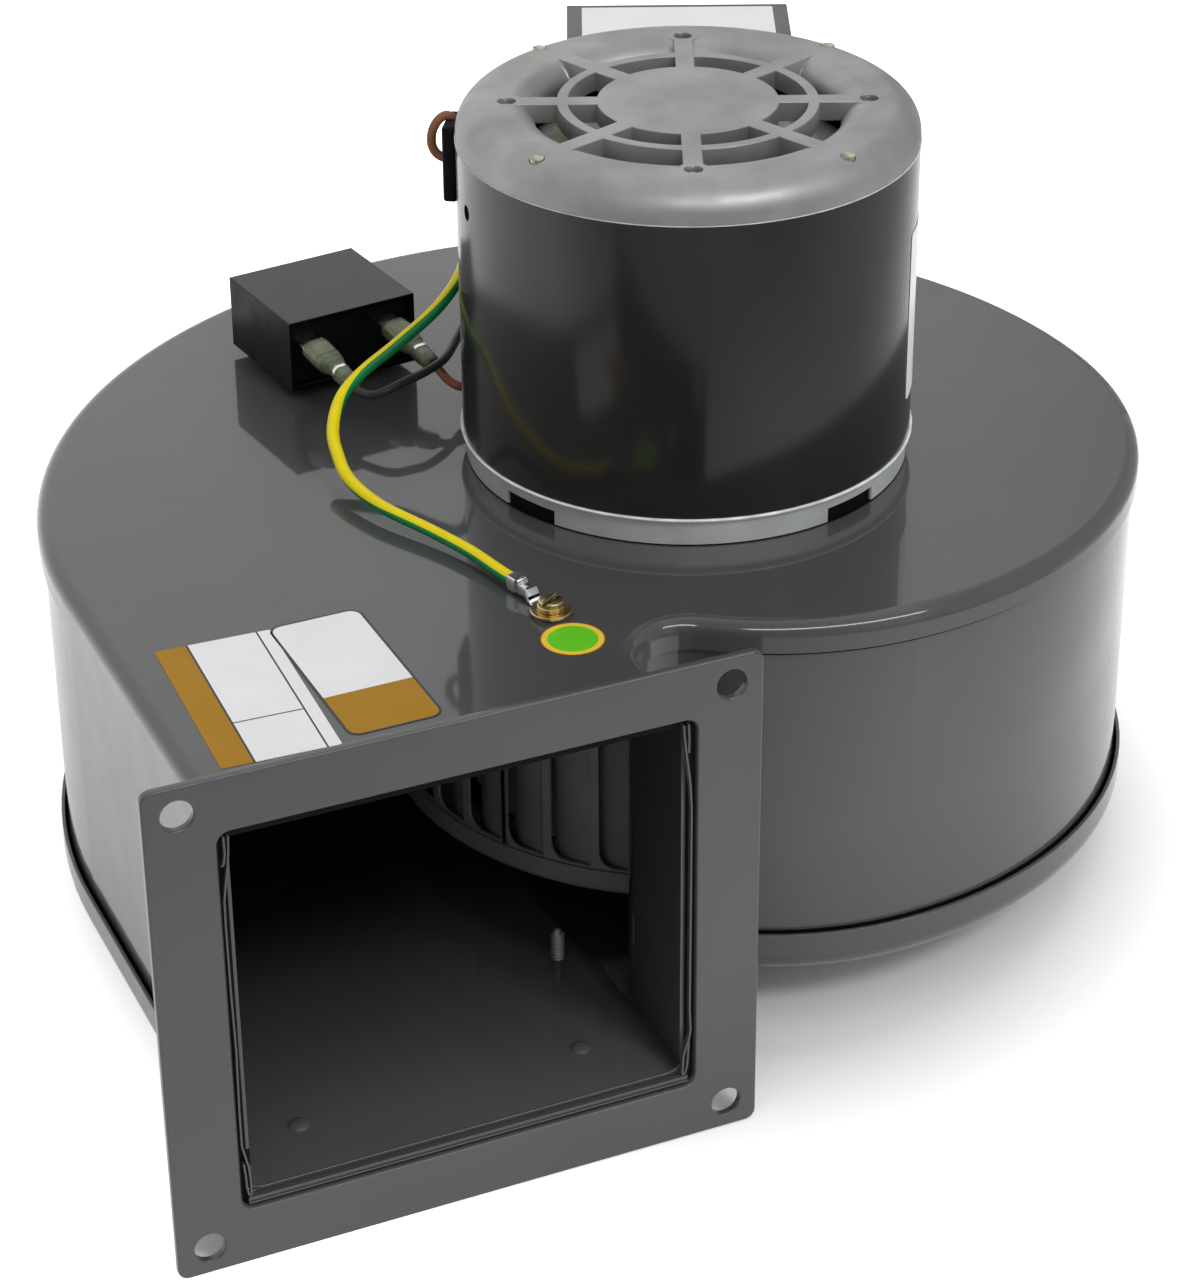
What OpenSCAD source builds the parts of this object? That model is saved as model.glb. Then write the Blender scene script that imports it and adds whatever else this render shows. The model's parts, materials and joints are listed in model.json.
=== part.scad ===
// Centrifugal blower: a sheet-metal scroll housing with a bolted outlet flange, a squirrel-cage wheel,
// and the motor that stands on the housing's deck, with its capacitor, leads and junction box.
// Millimetres. The origin is on the fan axis at the lower end of the inlet throat, +Z runs up the shaft
// and the air leaves along -Y.

/* [Housing] */
// Height of the housing over both panels
housing_h = 111; // [100:0.5:125]
// Thickness of the housing sheet
sheet_t = 1.2; // [0.8:0.1:1.6]
// Height of the deck panel's turned-down lip
deck_lip_h = 8.6; // [6:0.2:14]
// Outside radius of the deck panel's drawn edge
deck_edge_r = 4; // [3:0.2:5]
// Height of the floor panel's turned-up lip
floor_lip_h = 13.6; // [11:0.2:20]
// Outside radius of the floor panel's drawn edge
floor_edge_r = 7; // [5:0.2:9]
// Open gap between the wrap and the floor panel's lip
floor_lip_gap = 0.9; // [0.5:0.1:3]

/* [Scroll] */
// Outer radius of the scroll's widest quarter
scroll_r = 168; // [162:0.5:176]
// Centre of the widest quarter along X
scroll_x = -19.5; // [-22:0.5:-16]
// Centre of the widest quarter along Y
scroll_y = -8.5; // [-11:0.5:-6]
// Loss of radius from the widest quarter to the back one
step_back = 14.5; // [12:0.5:17]
// Loss of radius from the back quarter to the side one
step_side = 33.5; // [30:0.5:36]
// Loss of radius from the side quarter to the front one
step_front = 29; // [26:0.5:31]
// Width of the outlet duct over the deck's lips
duct_w = 124.5; // [118:0.5:128]
// Radius of the tongue between duct and scroll
tongue_r = 14; // [9:0.5:16]
// Distance from the fan axis to the front of the outlet flange
outlet_y = 138.3; // [132:0.5:150]

/* [Outlet flange] */
// Width of the flange plate beyond each side of the duct
flange_rim_x = 18.95; // [16:0.05:25]
// Height of the flange plate beyond the opening, above and below
flange_rim_z = 18.5; // [14:0.05:24]
// Thickness of the flange plate
flange_t = 2.5; // [2:0.1:4]
// Outer corner radius of the flange plate
flange_corner_r = 3; // [1:0.2:6]
// How far the opening's sides lie inside the duct's outer lips
opening_lap = 1.4; // [1.3:0.1:2.4]
// Width of the step round the opening, on the flange's front
opening_step = 2.2; // [1:0.1:3]
// How far the opening's upper edge lies below the deck
opening_high = 3; // [1.2:0.1:6]
// How far the opening's lower edge lies below the floor panel
opening_low = 0.5; // [0:0.1:3]
// Corner radius of the opening
opening_corner_r = 1.2; // [0.6:0.1:3]
// Distance from the bolt holes to the plate's sides
bolt_edge_x = 8.8; // [6.5:0.1:12]
// Distance from the bolt holes to the plate's upper and lower edges
bolt_edge_z = 7.95; // [6.5:0.05:10]
// Radius of the bolt holes
bolt_hole_r = 4.1; // [2.5:0.1:5]

/* [Inlet] */
// Radius of the inlet throat
inlet_r = 65; // [58:0.5:68]
// Length of the straight throat
throat_h = 7; // [5:0.5:10]
// Outside radius of the bend from the floor panel into the throat
inlet_bend_r = 4; // [3:0.2:6]

/* [Wheel] */
// Outer radius of the wheel
wheel_r = 88.4; // [84:0.2:92]
// Radial depth of the wheel's rings
blade_depth = 13.5; // [10:0.5:16]
// Radius of the blades' curve
blade_curve_r = 18; // [15:0.5:21]
// Number of blades
blade_count = 38; // [30:1:44]
// Thickness of the wheel's sheet
wheel_t = 1; // [0.6:0.1:1.4]
// Height of the wheel's end bands
band_h = 7.5; // [5:0.5:12]
// Clear height between the throat and the wheel
wheel_lift = 1.7; // [1:0.1:4]
// Clear height between the deck and the wheel
wheel_drop = 13; // [10:0.5:20]
// Radius of the hub
hub_r = 14; // [11:0.5:18]
// Length of the hub below the back plate
hub_h = 26; // [18:1:34]
// Radius of the hub's flange
hub_flange_r = 25; // [22:0.5:32]

/* [Motor] */
// Radius of the motor shell
shell_r = 63.5; // [60:0.5:68]
// Wall of the motor shell
shell_t = 1.5; // [1:0.1:2]
// Height of the lower bell's skirt
low_bell_h = 8.6; // [7:0.1:12]
// Height of the lower bell's vent slots
slot_h = 4.3; // [3:0.1:5]
// Width of each vent slot, in degrees
slot_angle = 16.5; // [10:0.5:24]
// Height of the shell's upper edge over the deck
shell_top = 93.7; // [86:0.1:104]
// Height of the upper bell over the shell's upper edge
bell_h = 10.1; // [9:0.1:13]
// Turn of the motor about its axis
motor_clock = -23.7; // [-45:0.1:0]
// Wall of the upper bell
bell_t = 3.2; // [2.5:0.1:3.6]
// Radius of the upper bell's shoulder
shoulder_r = 8; // [6:0.2:9]
// Radius where the upper bell's flat top rolls down into its mouth
mouth_r = 48.5; // [47:0.5:50]
// Radius of the rolled mouth
mouth_roll_r = 7; // [6:0.2:8]
// Radius of the grille's hub disc
grille_hub_r = 24.8; // [22:0.2:26]
// Middle radius of the grille's ring
grille_ring_r = 34.2; // [32:0.2:37]
// Width of the grille's ring
grille_ring_w = 3; // [2:0.2:4]
// Width of the grille's spokes
spoke_w = 5.3; // [4:0.1:6]
// Depth of the grille's spokes and ring
spoke_h = 5.6; // [4:0.2:6.5]
// Radius of the circle through the screws at the spokes
stud_circle_r = 49.2; // [48:0.2:51]
// Radius of the motor shaft
shaft_r = 6.35; // [5:0.05:8]
// Outer radius of the bearings
bearing_r = 13; // [11:0.5:14]
// Height of the bearings
bearing_h = 11; // [8:0.5:12]
// Outer radius of the rotor
rotor_r = 34.4; // [32:0.2:37]
// Height of the rotor and stator cores
core_h = 40; // [32:1:46]
// Air gap between rotor and stator
air_gap = 0.6; // [0.4:0.1:1]
// Number of stator slots
stator_slots = 24; // [18:2:36]

/* [Capacitor] */
// Place of the capacitor along X
cap_x = -75; // [-85:0.5:-65]
// Place of the capacitor along Y
cap_y = 94; // [88:0.5:100]
// Turn of the capacitor
cap_turn = 7.2; // [0:0.1:12]
// Width of the capacitor
cap_w = 41.2; // [36:0.2:46]
// Length of the capacitor, front to back
cap_l = 39.3; // [34:0.2:44]
// Height of the capacitor's case
cap_h = 22; // [18:0.5:28]
// Clear height below the capacitor's case
cap_lift = 2.6; // [1:0.1:4]
// Wall of the capacitor's case
cap_wall = 1.6; // [1:0.1:2.5]
// Depth of the potting below the case's rim
potting_depth = 3; // [1:0.5:5]

/* [Junction box] */
// Width of the junction box
box_w = 66; // [56:1:76]
// Height of the junction box
box_h = 72; // [50:1:76]
// Height of the junction box's top over the deck
box_top = 91; // [84:0.5:92]
// Reach of the junction box beyond the motor shell
box_reach = 46.5; // [36:0.5:56]
// Sheet of the junction box
box_t = 1.2; // [0.8:0.1:2]

/* [Hidden] */
$fn = 96;

// Clearances: a snug seat, a running bearing, and an overlap that makes cuts pass right through
seat_gap = 0.1;
running_gap = 0.03;
cut = 1;

// Levels
floor_z = -inlet_bend_r;
deck_z = floor_z + housing_h;
wheel_low = throat_h + wheel_lift;
wheel_top = deck_z - sheet_t - wheel_drop;

// Scroll quarters, from the duct side round the back to the tongue
centre_duct = [scroll_x, scroll_y];
centre_back = centre_duct + [0, step_back];
centre_side = centre_back + [step_side, 0];
centre_front = centre_side - [0, step_front];
r_duct = scroll_r;
r_back = r_duct - step_back;
r_side = r_back - step_side;
r_front = r_side - step_front;
left_x = scroll_x - scroll_r;
right_x = left_x + duct_w;
tongue_x = right_x + tongue_r;
tongue_y = centre_front.y - sqrt(pow(r_front + tongue_r, 2) - pow(tongue_x - centre_front.x, 2));
tongue = [tongue_x, tongue_y];
tongue_way = (tongue - centre_front) / norm(tongue - centre_front);
flange_back = flange_t - outlet_y;

// Offsets of the sheets from the deck lip's outer face, outwards positive
wrap_out = -sheet_t - seat_gap;
wrap_in = wrap_out - sheet_t;
floor_lip_out = wrap_out + floor_lip_gap + sheet_t;
// Rise of a drawn edge's inner fillet where the wrap's outer face stands on it
function edge_rise(r, out) = let(inner = r - sheet_t, x = wrap_out - out + r)
    inner - sqrt(max(inner * inner - x * x, 0));
wrap_low = floor_z + sheet_t + edge_rise(floor_edge_r, floor_lip_out) + seat_gap;
wrap_high = deck_z - sheet_t - edge_rise(deck_edge_r, 0) - seat_gap;

// Flange
flange_x = left_x + duct_w / 2;
opening_w = duct_w - 2 * opening_lap;
opening_h = housing_h + opening_low - opening_high;
opening_z = floor_z - opening_low + opening_h / 2;
flange_drop = 0.65;
flange_z = opening_z - flange_drop;
ledge_t = 0.8;
flange_w = duct_w + 2 * flange_rim_x;
flange_h = opening_h + 2 * flange_rim_z;
bolt_span_x = flange_w - 2 * bolt_edge_x;
bolt_span_z = flange_h - 2 * bolt_edge_z;

// Motor levels, over the deck
bell_top = shell_top + bell_h;
core_z = (low_bell_h + shell_top) / 2 - core_h / 2;
bolt_circle_r = shell_r - 6;
bolt_r = 1.9;
spigot_h = 4;
spigot_t = 1.6;
stator_r = shell_r - shell_t - seat_gap / 2;
low_seat_z = slot_h + 1.2;
high_seat_z = bell_top - spoke_h - bearing_h;
boss_t = 4;
washer_t = 1.5;
shaft_low = wheel_top - wheel_t - hub_h - 6;
screw_r = 2;
screw_head_r = 3.8;
screw_head_h = 2.4;
foot_r = shell_r - 9.5;
motor_screw_r = (shell_r + foot_r) / 2;

// Fixed places on the deck and in the duct
ground_in = [11.8, 31.4];
ground_at = [right_x - ground_in.x, tongue.y + ground_in.y];
ground_turn = 103.4;
floor_screw_in = [11, 32.5];
floor_screw_at = [right_x - floor_screw_in.x, tongue.y + floor_screw_in.y];
rivet_span = 80;
rivet_in = 19.8;
rivets_at = [[flange_x - rivet_span / 2, flange_back + rivet_in],
    [flange_x + rivet_span / 2, flange_back + rivet_in]];
mouth_tab_h = 6;

// Capacitor tabs and the push-on sleeves on them
tab_places = [-15.6, 10.4];
tab_z = 19.2;
tab_tilt = 14;
tab_yaw = 7;
tab_w = 6.3;
tab_t = 0.8;
tab_l = 15;
sleeve_start = 6.5;
sleeve_w = 8.4;
sleeve_h = 5.6;
sleeve_l = 15;
sleeve_tail_r = 2.2;
sleeve_end = 27.5;

// Ring terminal of the ground lead
terminal_t = 0.8;
terminal_ring_r = 4.6;
terminal_neck_w = 4;
barrel_r = 2.3;
barrel_z = 2.9;
barrel_from = 7.5;
barrel_to = 17;
// A point on the axis of its barrel, over the deck
function barrel_point(reach) = [ground_at.x + reach * cos(ground_turn),
    ground_at.y + reach * sin(ground_turn), barrel_z];

// Leads: routes over the deck, with z counted from the deck
ground_lead_r = 1.8;
lead_r = 1.3;
ground_route = [[-0.8, 87.7, 38], [-8.1, 90.9, 38], [-19, 89, 38.5], [-30, 79, 39.5], [-40, 64, 40.5],
    [-47.5, 51, 40.5], [-54, 44, 38.5], [-61, 41.5, 34], [-72, 41, 27], [-83.5, 39, 21.3],
    [-91.5, 34.5, 17], [-97, 26.5, 12], [-99, 17.5, 8.5], [-99.6, 7, 6], [-96.5, -8, 4.5],
    [-88.6, -26, 3.6], [-83.4, -40, 3.2], barrel_point(barrel_to + 6.5), barrel_point(barrel_to)];
grey_route = [[-81.8, 49.6, 12.5], [-81, 46.4, 11.7], [-79.2, 43.3, 11.8], [-76.2, 41.6, 12.8],
    [-72.6, 41.6, 13.8], [-68.5, 42.6, 14.4], [-61.9, 44.6, 15], [-53.2, 50.8, 15], [-44.4, 61.7, 16],
    [-32, 75.5, 20], [-19, 84.5, 28], [-9.5, 87.7, 34], [-2.2, 84.5, 34]];
brown_route = [[-56, 52.9, 12.5], [-55.2, 49.7, 11.7], [-54.2, 46, 10.2], [-51.8, 43.6, 8.8],
    [-48.8, 45.2, 8.2], [-47, 50, 8.2], [-44.5, 56.5, 8.8], [-39, 66.5, 10.5], [-30, 75.5, 14],
    [-18, 83.5, 21], [-8.1, 90.9, 30], [-0.8, 87.7, 30]];
// The loop's points are radial, sideways and up, in the bushing's own turn
loop_route = [[65.1, -1, 93.1], [65.1, -1, 94.8], [66.9, -0.8, 96.4], [69.2, -0.3, 94.9], [70.9, 0.3, 91.2],
    [71.2, 0.8, 87.2], [70.3, 1, 84.2], [68.7, 1, 82.5], [66.8, 1, 82.3]];
bushing_turn = 147;
bushing_w = 13;
bushing_t = 3.2;
bushing_low = 72.4;
bushing_high = 93;
lead_sides = 8;

// Routes as smooth curves
function spline_at(p, u) = let(n = len(p) - 1, i = min(floor(u), n - 1), f = u - i, b = p[i], c = p[i + 1],
    a = i == 0 ? 2 * b - c : p[i - 1], d = i + 2 > n ? 2 * c - b : p[i + 2])
    b + (c - a) * f / 2 + (2 * a - 5 * b + 4 * c - d) * f * f / 2 + (3 * b - a - 3 * c + d) * f * f * f / 2;
function unit(v) = v / norm(v);

// A lead of round section along a route, as one closed mesh
module lead(route, r, rings, side = [0, 0, 1]) {
    n = len(route) - 1;
    nudge = 0.01;
    step = 360 / lead_sides;
    points = [for (k = [0 : rings - 1]) let(u = n * k / (rings - 1), p = spline_at(route, u),
        t = unit(spline_at(route, min(u + nudge, n)) - spline_at(route, max(u - nudge, 0))),
        a = unit(cross(t, side)), b = cross(a, t))
        for (s = [0 : lead_sides - 1]) p + r * (cos(s * step) * a + sin(s * step) * b)];
    walls = [for (k = [0 : rings - 2], s = [0 : lead_sides - 1])
        let(q = (s + 1) % lead_sides, o = k * lead_sides)
        [o + s, o + s + lead_sides, o + q + lead_sides, o + q]];
    last = (rings - 1) * lead_sides;
    caps = [[for (s = [0 : lead_sides - 1]) s], [for (s = [lead_sides - 1 : -1 : 0]) last + s]];
    translate([0, 0, deck_z]) polyhedron(points, concat(walls, caps));
}

// One quarter of a disc
module quarter(centre, r, turn) {
    translate(centre) intersection() {
        circle(r);
        rotate(turn) square(r + cut);
    }
}

// The scroll's outline grown by an offset, open at the duct's mouth
module scroll_outline(grow, mouth) {
    quarter(centre_duct, r_duct + grow, 90);
    quarter(centre_back, r_back + grow, 0);
    quarter(centre_side, r_side + grow, -90);
    quarter(centre_front, r_front + grow, 180);
    translate([left_x - grow, mouth]) square([duct_w + 2 * grow, centre_duct.y - mouth]);
    translate([flange_x, centre_front.y]) square([centre_side.x - flange_x, centre_back.y - centre_front.y]);
    difference() {
        polygon([[flange_x, tongue.y], tongue,
            centre_front + (r_front + grow) * tongue_way,
            centre_front, [flange_x, centre_front.y]]);
        translate(tongue) circle(tongue_r - grow);
    }
}

// A tall wedge between two directions
module sector(centre, from, to) {
    translate([centre.x, centre.y, -housing_h]) linear_extrude(2 * housing_h)
        polygon([[0, 0], 2 * from, 2 * from + 2 * to, 2 * to]);
}

// Sweeps a profile round the scroll's edge, with x outwards from the deck lip and y up
module scroll_sweep(mouth) {
    translate(centre_duct) rotate(90) rotate_extrude(angle = 90) translate([r_duct, 0]) children();
    translate(centre_back) rotate_extrude(angle = 90) translate([r_back, 0]) children();
    translate(centre_side) rotate(-90) rotate_extrude(angle = 90) translate([r_side, 0]) children();
    intersection() {
        translate(centre_front) rotate(180) rotate_extrude(angle = 90) translate([r_front, 0]) children();
        sector(centre_front, tongue - centre_front, [0, -r_side]);
    }
    translate(tongue) rotate(90) rotate_extrude(angle = 90) translate([tongue_r, 0]) mirror([1, 0])
        children();
    intersection() {
        translate(tongue) rotate_extrude(angle = 90) translate([tongue_r, 0]) mirror([1, 0]) children();
        sector(tongue, centre_front - tongue, [0, r_side]);
    }
    translate([right_x, tongue.y]) rotate([90, 0, 0]) linear_extrude(tongue.y - mouth) children();
    translate([left_x, centre_duct.y]) rotate([90, 0, 0]) linear_extrude(centre_duct.y - mouth)
        mirror([1, 0]) children();
}

// Section of a drawn panel edge: a quarter bend of the sheet and a lip standing up from it
module edge_section(out, r, lip_h) {
    translate([out - r, r]) intersection() {
        difference() {
            circle(r);
            circle(r - sheet_t);
        }
        translate([0, -r]) square(r);
    }
    translate([out - sheet_t, r]) square([sheet_t, lip_h - r]);
}

// A square with round corners, standing on the XZ plane's first quadrant middle
module round_plate(w, h, r) {
    for (sx = [-1, 1], sy = [-1, 1]) translate([sx * (w / 2 - r), sy * (h / 2 - r)]) circle(r);
    square([w - 2 * r, h], center = true);
    square([w, h - 2 * r], center = true);
}

// A round-headed screw pointing up, with its head's seat at z = 0
module screw_up(length, r = screw_r) {
    cylinder(h = length, r = r);
    difference() {
        translate([0, 0, -screw_head_h]) cylinder(h = screw_head_h, r = screw_head_r);
        translate([0, 0, -screw_head_h]) cube([2 * screw_head_r + cut, 1, 1.6], center = true);
    }
}

// Places its children on the motor's axis over the deck, turned with the motor
module on_motor(turns = [0]) {
    for (turn = turns) translate([0, 0, deck_z]) rotate(motor_clock + turn) children();
}
quarters = [0, 90, 180, 270];
diagonals = [45, 135, 225, 315];

module deck_panel() {
    color("dimgray") difference() {
        union() {
            translate([0, 0, deck_z]) mirror([0, 0, 1]) scroll_sweep(flange_back)
                edge_section(0, deck_edge_r, deck_lip_h);
            translate([0, 0, deck_z - sheet_t]) linear_extrude(sheet_t)
                scroll_outline(-deck_edge_r, flange_back);
        }
        translate([0, 0, deck_z - sheet_t - cut]) {
            cylinder(h = sheet_t + 2 * cut, r = bearing_r + boss_t + 5);
            rotate(motor_clock) for (turn = quarters) rotate(turn) translate([motor_screw_r, 0])
                cylinder(h = sheet_t + 2 * cut, r = screw_r + seat_gap);
            translate(ground_at) cylinder(h = sheet_t + 2 * cut, r = screw_r + seat_gap);
            translate([cap_x, cap_y]) cylinder(h = sheet_t + 2 * cut, r = screw_r + seat_gap);
        }
    }
}

module floor_panel() {
    color("dimgray") difference() {
        union() {
            translate([0, 0, floor_z]) scroll_sweep(flange_back)
                edge_section(floor_lip_out, floor_edge_r, floor_lip_h);
            translate([0, 0, floor_z]) linear_extrude(sheet_t) difference() {
                scroll_outline(floor_lip_out - floor_edge_r, flange_back);
                circle(inlet_r + inlet_bend_r);
            }
            translate([left_x + opening_lap / 2, flange_back, floor_z - mouth_tab_h])
                cube([duct_w - opening_lap, sheet_t, mouth_tab_h + sheet_t / 2]);
            rotate_extrude() {
                translate([inlet_r + inlet_bend_r, 0]) intersection() {
                    difference() {
                        circle(inlet_bend_r);
                        circle(inlet_bend_r - sheet_t);
                    }
                    translate([-inlet_bend_r, -inlet_bend_r]) square(inlet_bend_r);
                }
                translate([inlet_r, 0]) square([sheet_t, throat_h]);
            }
        }
        translate([0, 0, floor_z - cut]) {
            translate(floor_screw_at) cylinder(h = sheet_t + 2 * cut, r = screw_r + seat_gap);
            for (at = rivets_at) translate(at) cylinder(h = sheet_t + 2 * cut, r = rivet_r + seat_gap);
        }
    }
}

module scroll_wrap() {
    color("gray") translate([0, 0, wrap_low]) linear_extrude(wrap_high - wrap_low) difference() {
        scroll_outline(wrap_out, flange_back);
        scroll_outline(wrap_in, flange_back - cut);
    }
}

module outlet_flange() {
    color("dimgray") translate([flange_x, flange_back, flange_z]) rotate([90, 0, 0]) difference() {
        linear_extrude(flange_t) difference() {
            round_plate(flange_w, flange_h, flange_corner_r);
            translate([0, flange_drop]) round_plate(opening_w, opening_h, opening_corner_r);
            for (sx = [-1, 1], sz = [-1, 1]) translate([sx * bolt_span_x / 2, sz * bolt_span_z / 2])
                circle(bolt_hole_r);
        }
        translate([0, flange_drop, ledge_t]) linear_extrude(flange_t)
            round_plate(opening_w + 2 * opening_step, opening_h + 2 * opening_step,
                opening_corner_r + opening_step);
    }
}

rivet_r = 1.6;
rivet_head_r = 3;
rivet_head_h = 1;
floor_screw_h = 9;

module floor_screw() {
    color("khaki") translate([floor_screw_at.x, floor_screw_at.y, floor_z])
        screw_up(sheet_t + floor_screw_h);
}

module floor_rivets() {
    color("silver") for (at = rivets_at) translate([at.x, at.y, floor_z + sheet_t]) {
        cylinder(h = rivet_head_h, r = rivet_head_r);
        translate([0, 0, -sheet_t]) cylinder(h = sheet_t, r = rivet_r);
        translate([0, 0, -sheet_t - rivet_head_h]) cylinder(h = rivet_head_h, r = rivet_head_r);
    }
}

module lower_end_bell() {
    skirt_r = shell_r - 0.8;
    spigot_r = shell_r - shell_t - seat_gap / 2;
    boss_r = bearing_r + boss_t;
    color("silver") on_motor() difference() {
        union() {
            rotate_extrude() {
                translate([foot_r, 0]) square([skirt_r - foot_r, low_bell_h]);
                translate([0, slot_h]) square([skirt_r, low_bell_h - slot_h]);
                translate([spigot_r - spigot_t, low_bell_h]) square([spigot_t, spigot_h]);
                translate([0, slot_h]) square([boss_r, low_seat_z + bearing_h - slot_h]);
            }
        }
        translate([0, 0, low_seat_z]) cylinder(h = bearing_h + cut, r = bearing_r + seat_gap / 2);
        translate([0, 0, -cut]) cylinder(h = low_seat_z + 2 * cut, r = shaft_r + 1);
        for (turn = diagonals) rotate(turn) {
            translate([0, 0, -cut]) rotate(-slot_angle / 2) rotate_extrude(angle = slot_angle)
                translate([foot_r - cut, 0]) square([shell_r - foot_r + cut, slot_h + cut]);
            translate([bolt_circle_r, 0]) cylinder(h = low_bell_h + cut, r = bolt_r + seat_gap);
        }
        for (turn = quarters) rotate(turn) translate([motor_screw_r, 0, -cut])
            cylinder(h = low_bell_h - 1 + cut, r = screw_r + seat_gap);
    }
}

shell_hole_turn = 198.6;
shell_hole_z = 79.7;
shell_hole_r = 2.2;

module motor_shell() {
    color([0.1, 0.1, 0.11]) on_motor() difference() {
        translate([0, 0, low_bell_h]) cylinder(h = shell_top - low_bell_h, r = shell_r);
        translate([0, 0, low_bell_h - cut])
            cylinder(h = shell_top - low_bell_h + 2 * cut, r = shell_r - shell_t);
        rotate(shell_hole_turn) translate([shell_r - 2 * shell_t, 0, shell_hole_z]) rotate([0, 90, 0])
            cylinder(h = 4 * shell_t, r = shell_hole_r);
    }
}

stud_r = 1.6;
stud_recess_r = 2.5;
stud_recess = 2.2;
stud_boss_r = 4.4;

// Half section of the upper bell, from its skirt over the shoulder to the rolled mouth, top at y = 0
module bell_section() {
    flat_r = shell_r - shoulder_r;
    difference() {
        union() {
            translate([flat_r, -shoulder_r]) quarter([0, 0], shoulder_r, 0);
            translate([mouth_r, -bell_h]) square([flat_r - mouth_r, bell_h]);
            translate([flat_r, -bell_h]) square([shoulder_r, bell_h - shoulder_r]);
        }
        translate([flat_r, -shoulder_r]) quarter([0, 0], shoulder_r - bell_t, 0);
        translate([mouth_r - cut, -bell_h - cut]) square([flat_r - mouth_r + cut, bell_h - bell_t + cut]);
        translate([flat_r - cut, -bell_h - cut])
            square([shoulder_r - bell_t + cut, bell_h - shoulder_r + cut]);
    }
    translate([mouth_r, -mouth_roll_r]) difference() {
        quarter([0, 0], mouth_roll_r, 90);
        circle(mouth_roll_r - bell_t);
    }
    translate([shell_r - shell_t - seat_gap / 2 - bell_t, -bell_h - spigot_h])
        square([bell_t, spigot_h + bell_t / 2]);
}

module upper_end_bell() {
    color("silver") translate([0, 0, bell_top]) on_motor() difference() {
        union() {
            rotate_extrude() bell_section();
            translate([0, 0, -spoke_h]) linear_extrude(spoke_h) {
                circle(grille_hub_r);
                difference() {
                    circle(grille_ring_r + grille_ring_w / 2);
                    circle(grille_ring_r - grille_ring_w / 2);
                }
                for (turn = [0 : 45 : 135]) rotate(turn) square([2 * mouth_r, spoke_w], center = true);
                for (turn = quarters) rotate(turn) translate([stud_circle_r, 0]) circle(stud_boss_r);
            }
            translate([0, 0, -spoke_h - bearing_h]) cylinder(h = bearing_h, r = bearing_r + boss_t);
        }
        translate([0, 0, -spoke_h - bearing_h - cut])
            cylinder(h = bearing_h + cut, r = bearing_r + seat_gap / 2);
        for (turn = quarters) rotate(turn) translate([stud_circle_r, 0]) {
            translate([0, 0, -stud_recess]) cylinder(h = stud_recess + cut, r = stud_recess_r);
            translate([0, 0, -spoke_h - cut]) cylinder(h = spoke_h + cut, r = stud_r + seat_gap);
        }
        for (turn = diagonals) rotate(turn) translate([bolt_circle_r, 0, -bell_h - spigot_h - cut])
            cylinder(h = bell_h + spigot_h + 2 * cut, r = bolt_r + seat_gap);
    }
}

module stator_core() {
    bore_r = rotor_r + air_gap;
    slot_w = 3;
    slot_d = 13;
    tooth_tip = 1.2;
    color("darkgray") on_motor() translate([0, 0, core_z]) linear_extrude(core_h) difference() {
        circle(stator_r);
        circle(bore_r);
        for (k = [0 : stator_slots - 1]) rotate(360 * k / stator_slots)
            translate([bore_r + tooth_tip, -slot_w / 2]) square([slot_d, slot_w]);
        for (turn = diagonals) rotate(turn) translate([bolt_circle_r, 0]) circle(bolt_r + 3 * seat_gap);
    }
}

winding_r = 44;
winding_round_r = 8;

module stator_windings() {
    color("peru") on_motor() for (level = [core_z - winding_round_r, core_z + core_h + winding_round_r])
        translate([0, 0, level]) rotate_extrude() translate([winding_r, 0]) circle(winding_round_r);
}

module bearing() {
    difference() {
        cylinder(h = bearing_h, r = bearing_r);
        translate([0, 0, -cut]) cylinder(h = bearing_h + 2 * cut, r = shaft_r + running_gap);
    }
}

module lower_bearing() {
    color("darkgoldenrod") translate([0, 0, deck_z + low_seat_z]) bearing();
}

module upper_bearing() {
    color("darkgoldenrod") translate([0, 0, deck_z + high_seat_z]) bearing();
}

bolt_head_r = 3.2;
bolt_head_h = 2.6;
bolt_proud = 0.4;

module through_bolts() {
    color("goldenrod") on_motor(diagonals) translate([bolt_circle_r, 0]) {
        translate([0, 0, slot_h - bolt_head_h]) cylinder(h = bolt_head_h, r = bolt_head_r);
        translate([0, 0, slot_h]) cylinder(h = bell_top + bolt_proud - slot_h, r = bolt_r);
    }
}

module grille_studs() {
    color("lightgray") on_motor(quarters) translate([stud_circle_r, 0, bell_top - spoke_h - 2])
        cylinder(h = spoke_h + 2 - stud_recess / 2, r = stud_r);
}

module motor_screws() {
    color("darkgray") on_motor(quarters) translate([motor_screw_r, 0, -sheet_t])
        screw_up(sheet_t + low_bell_h - 2);
}

box_turn = 90;
box_far = shell_r + box_reach;
grommet_in = 31;
grommet_x = box_far - grommet_in;
grommet_z = 34;
grommet_r = 9;
grommet_neck_r = 7;
grommet_flange_t = 3;
cover_screw_in = 8;
cover_screw_l = 8;
cover_screw_z = box_h / 2 - cover_screw_in;

module junction_box() {
    inner_w = box_w - 2 * box_t;
    color("dimgray") on_motor([box_turn]) difference() {
        translate([0, -box_w / 2, box_top - box_h]) cube([box_far - box_t, box_w, box_h]);
        translate([-cut, -inner_w / 2, box_top - box_h + box_t])
            cube([box_far + cut, inner_w, box_h - 2 * box_t]);
        translate([0, 0, box_top - box_h - cut]) cylinder(h = box_h + 2 * cut, r = shell_r + seat_gap);
        translate([-shell_r, -box_w, box_top - box_h - cut]) cube([shell_r, 2 * box_w, box_h + 2 * cut]);
        translate([grommet_x, 0, grommet_z]) rotate([-90, 0, 0])
            cylinder(h = box_w, r = grommet_neck_r + seat_gap);
    }
}

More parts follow.
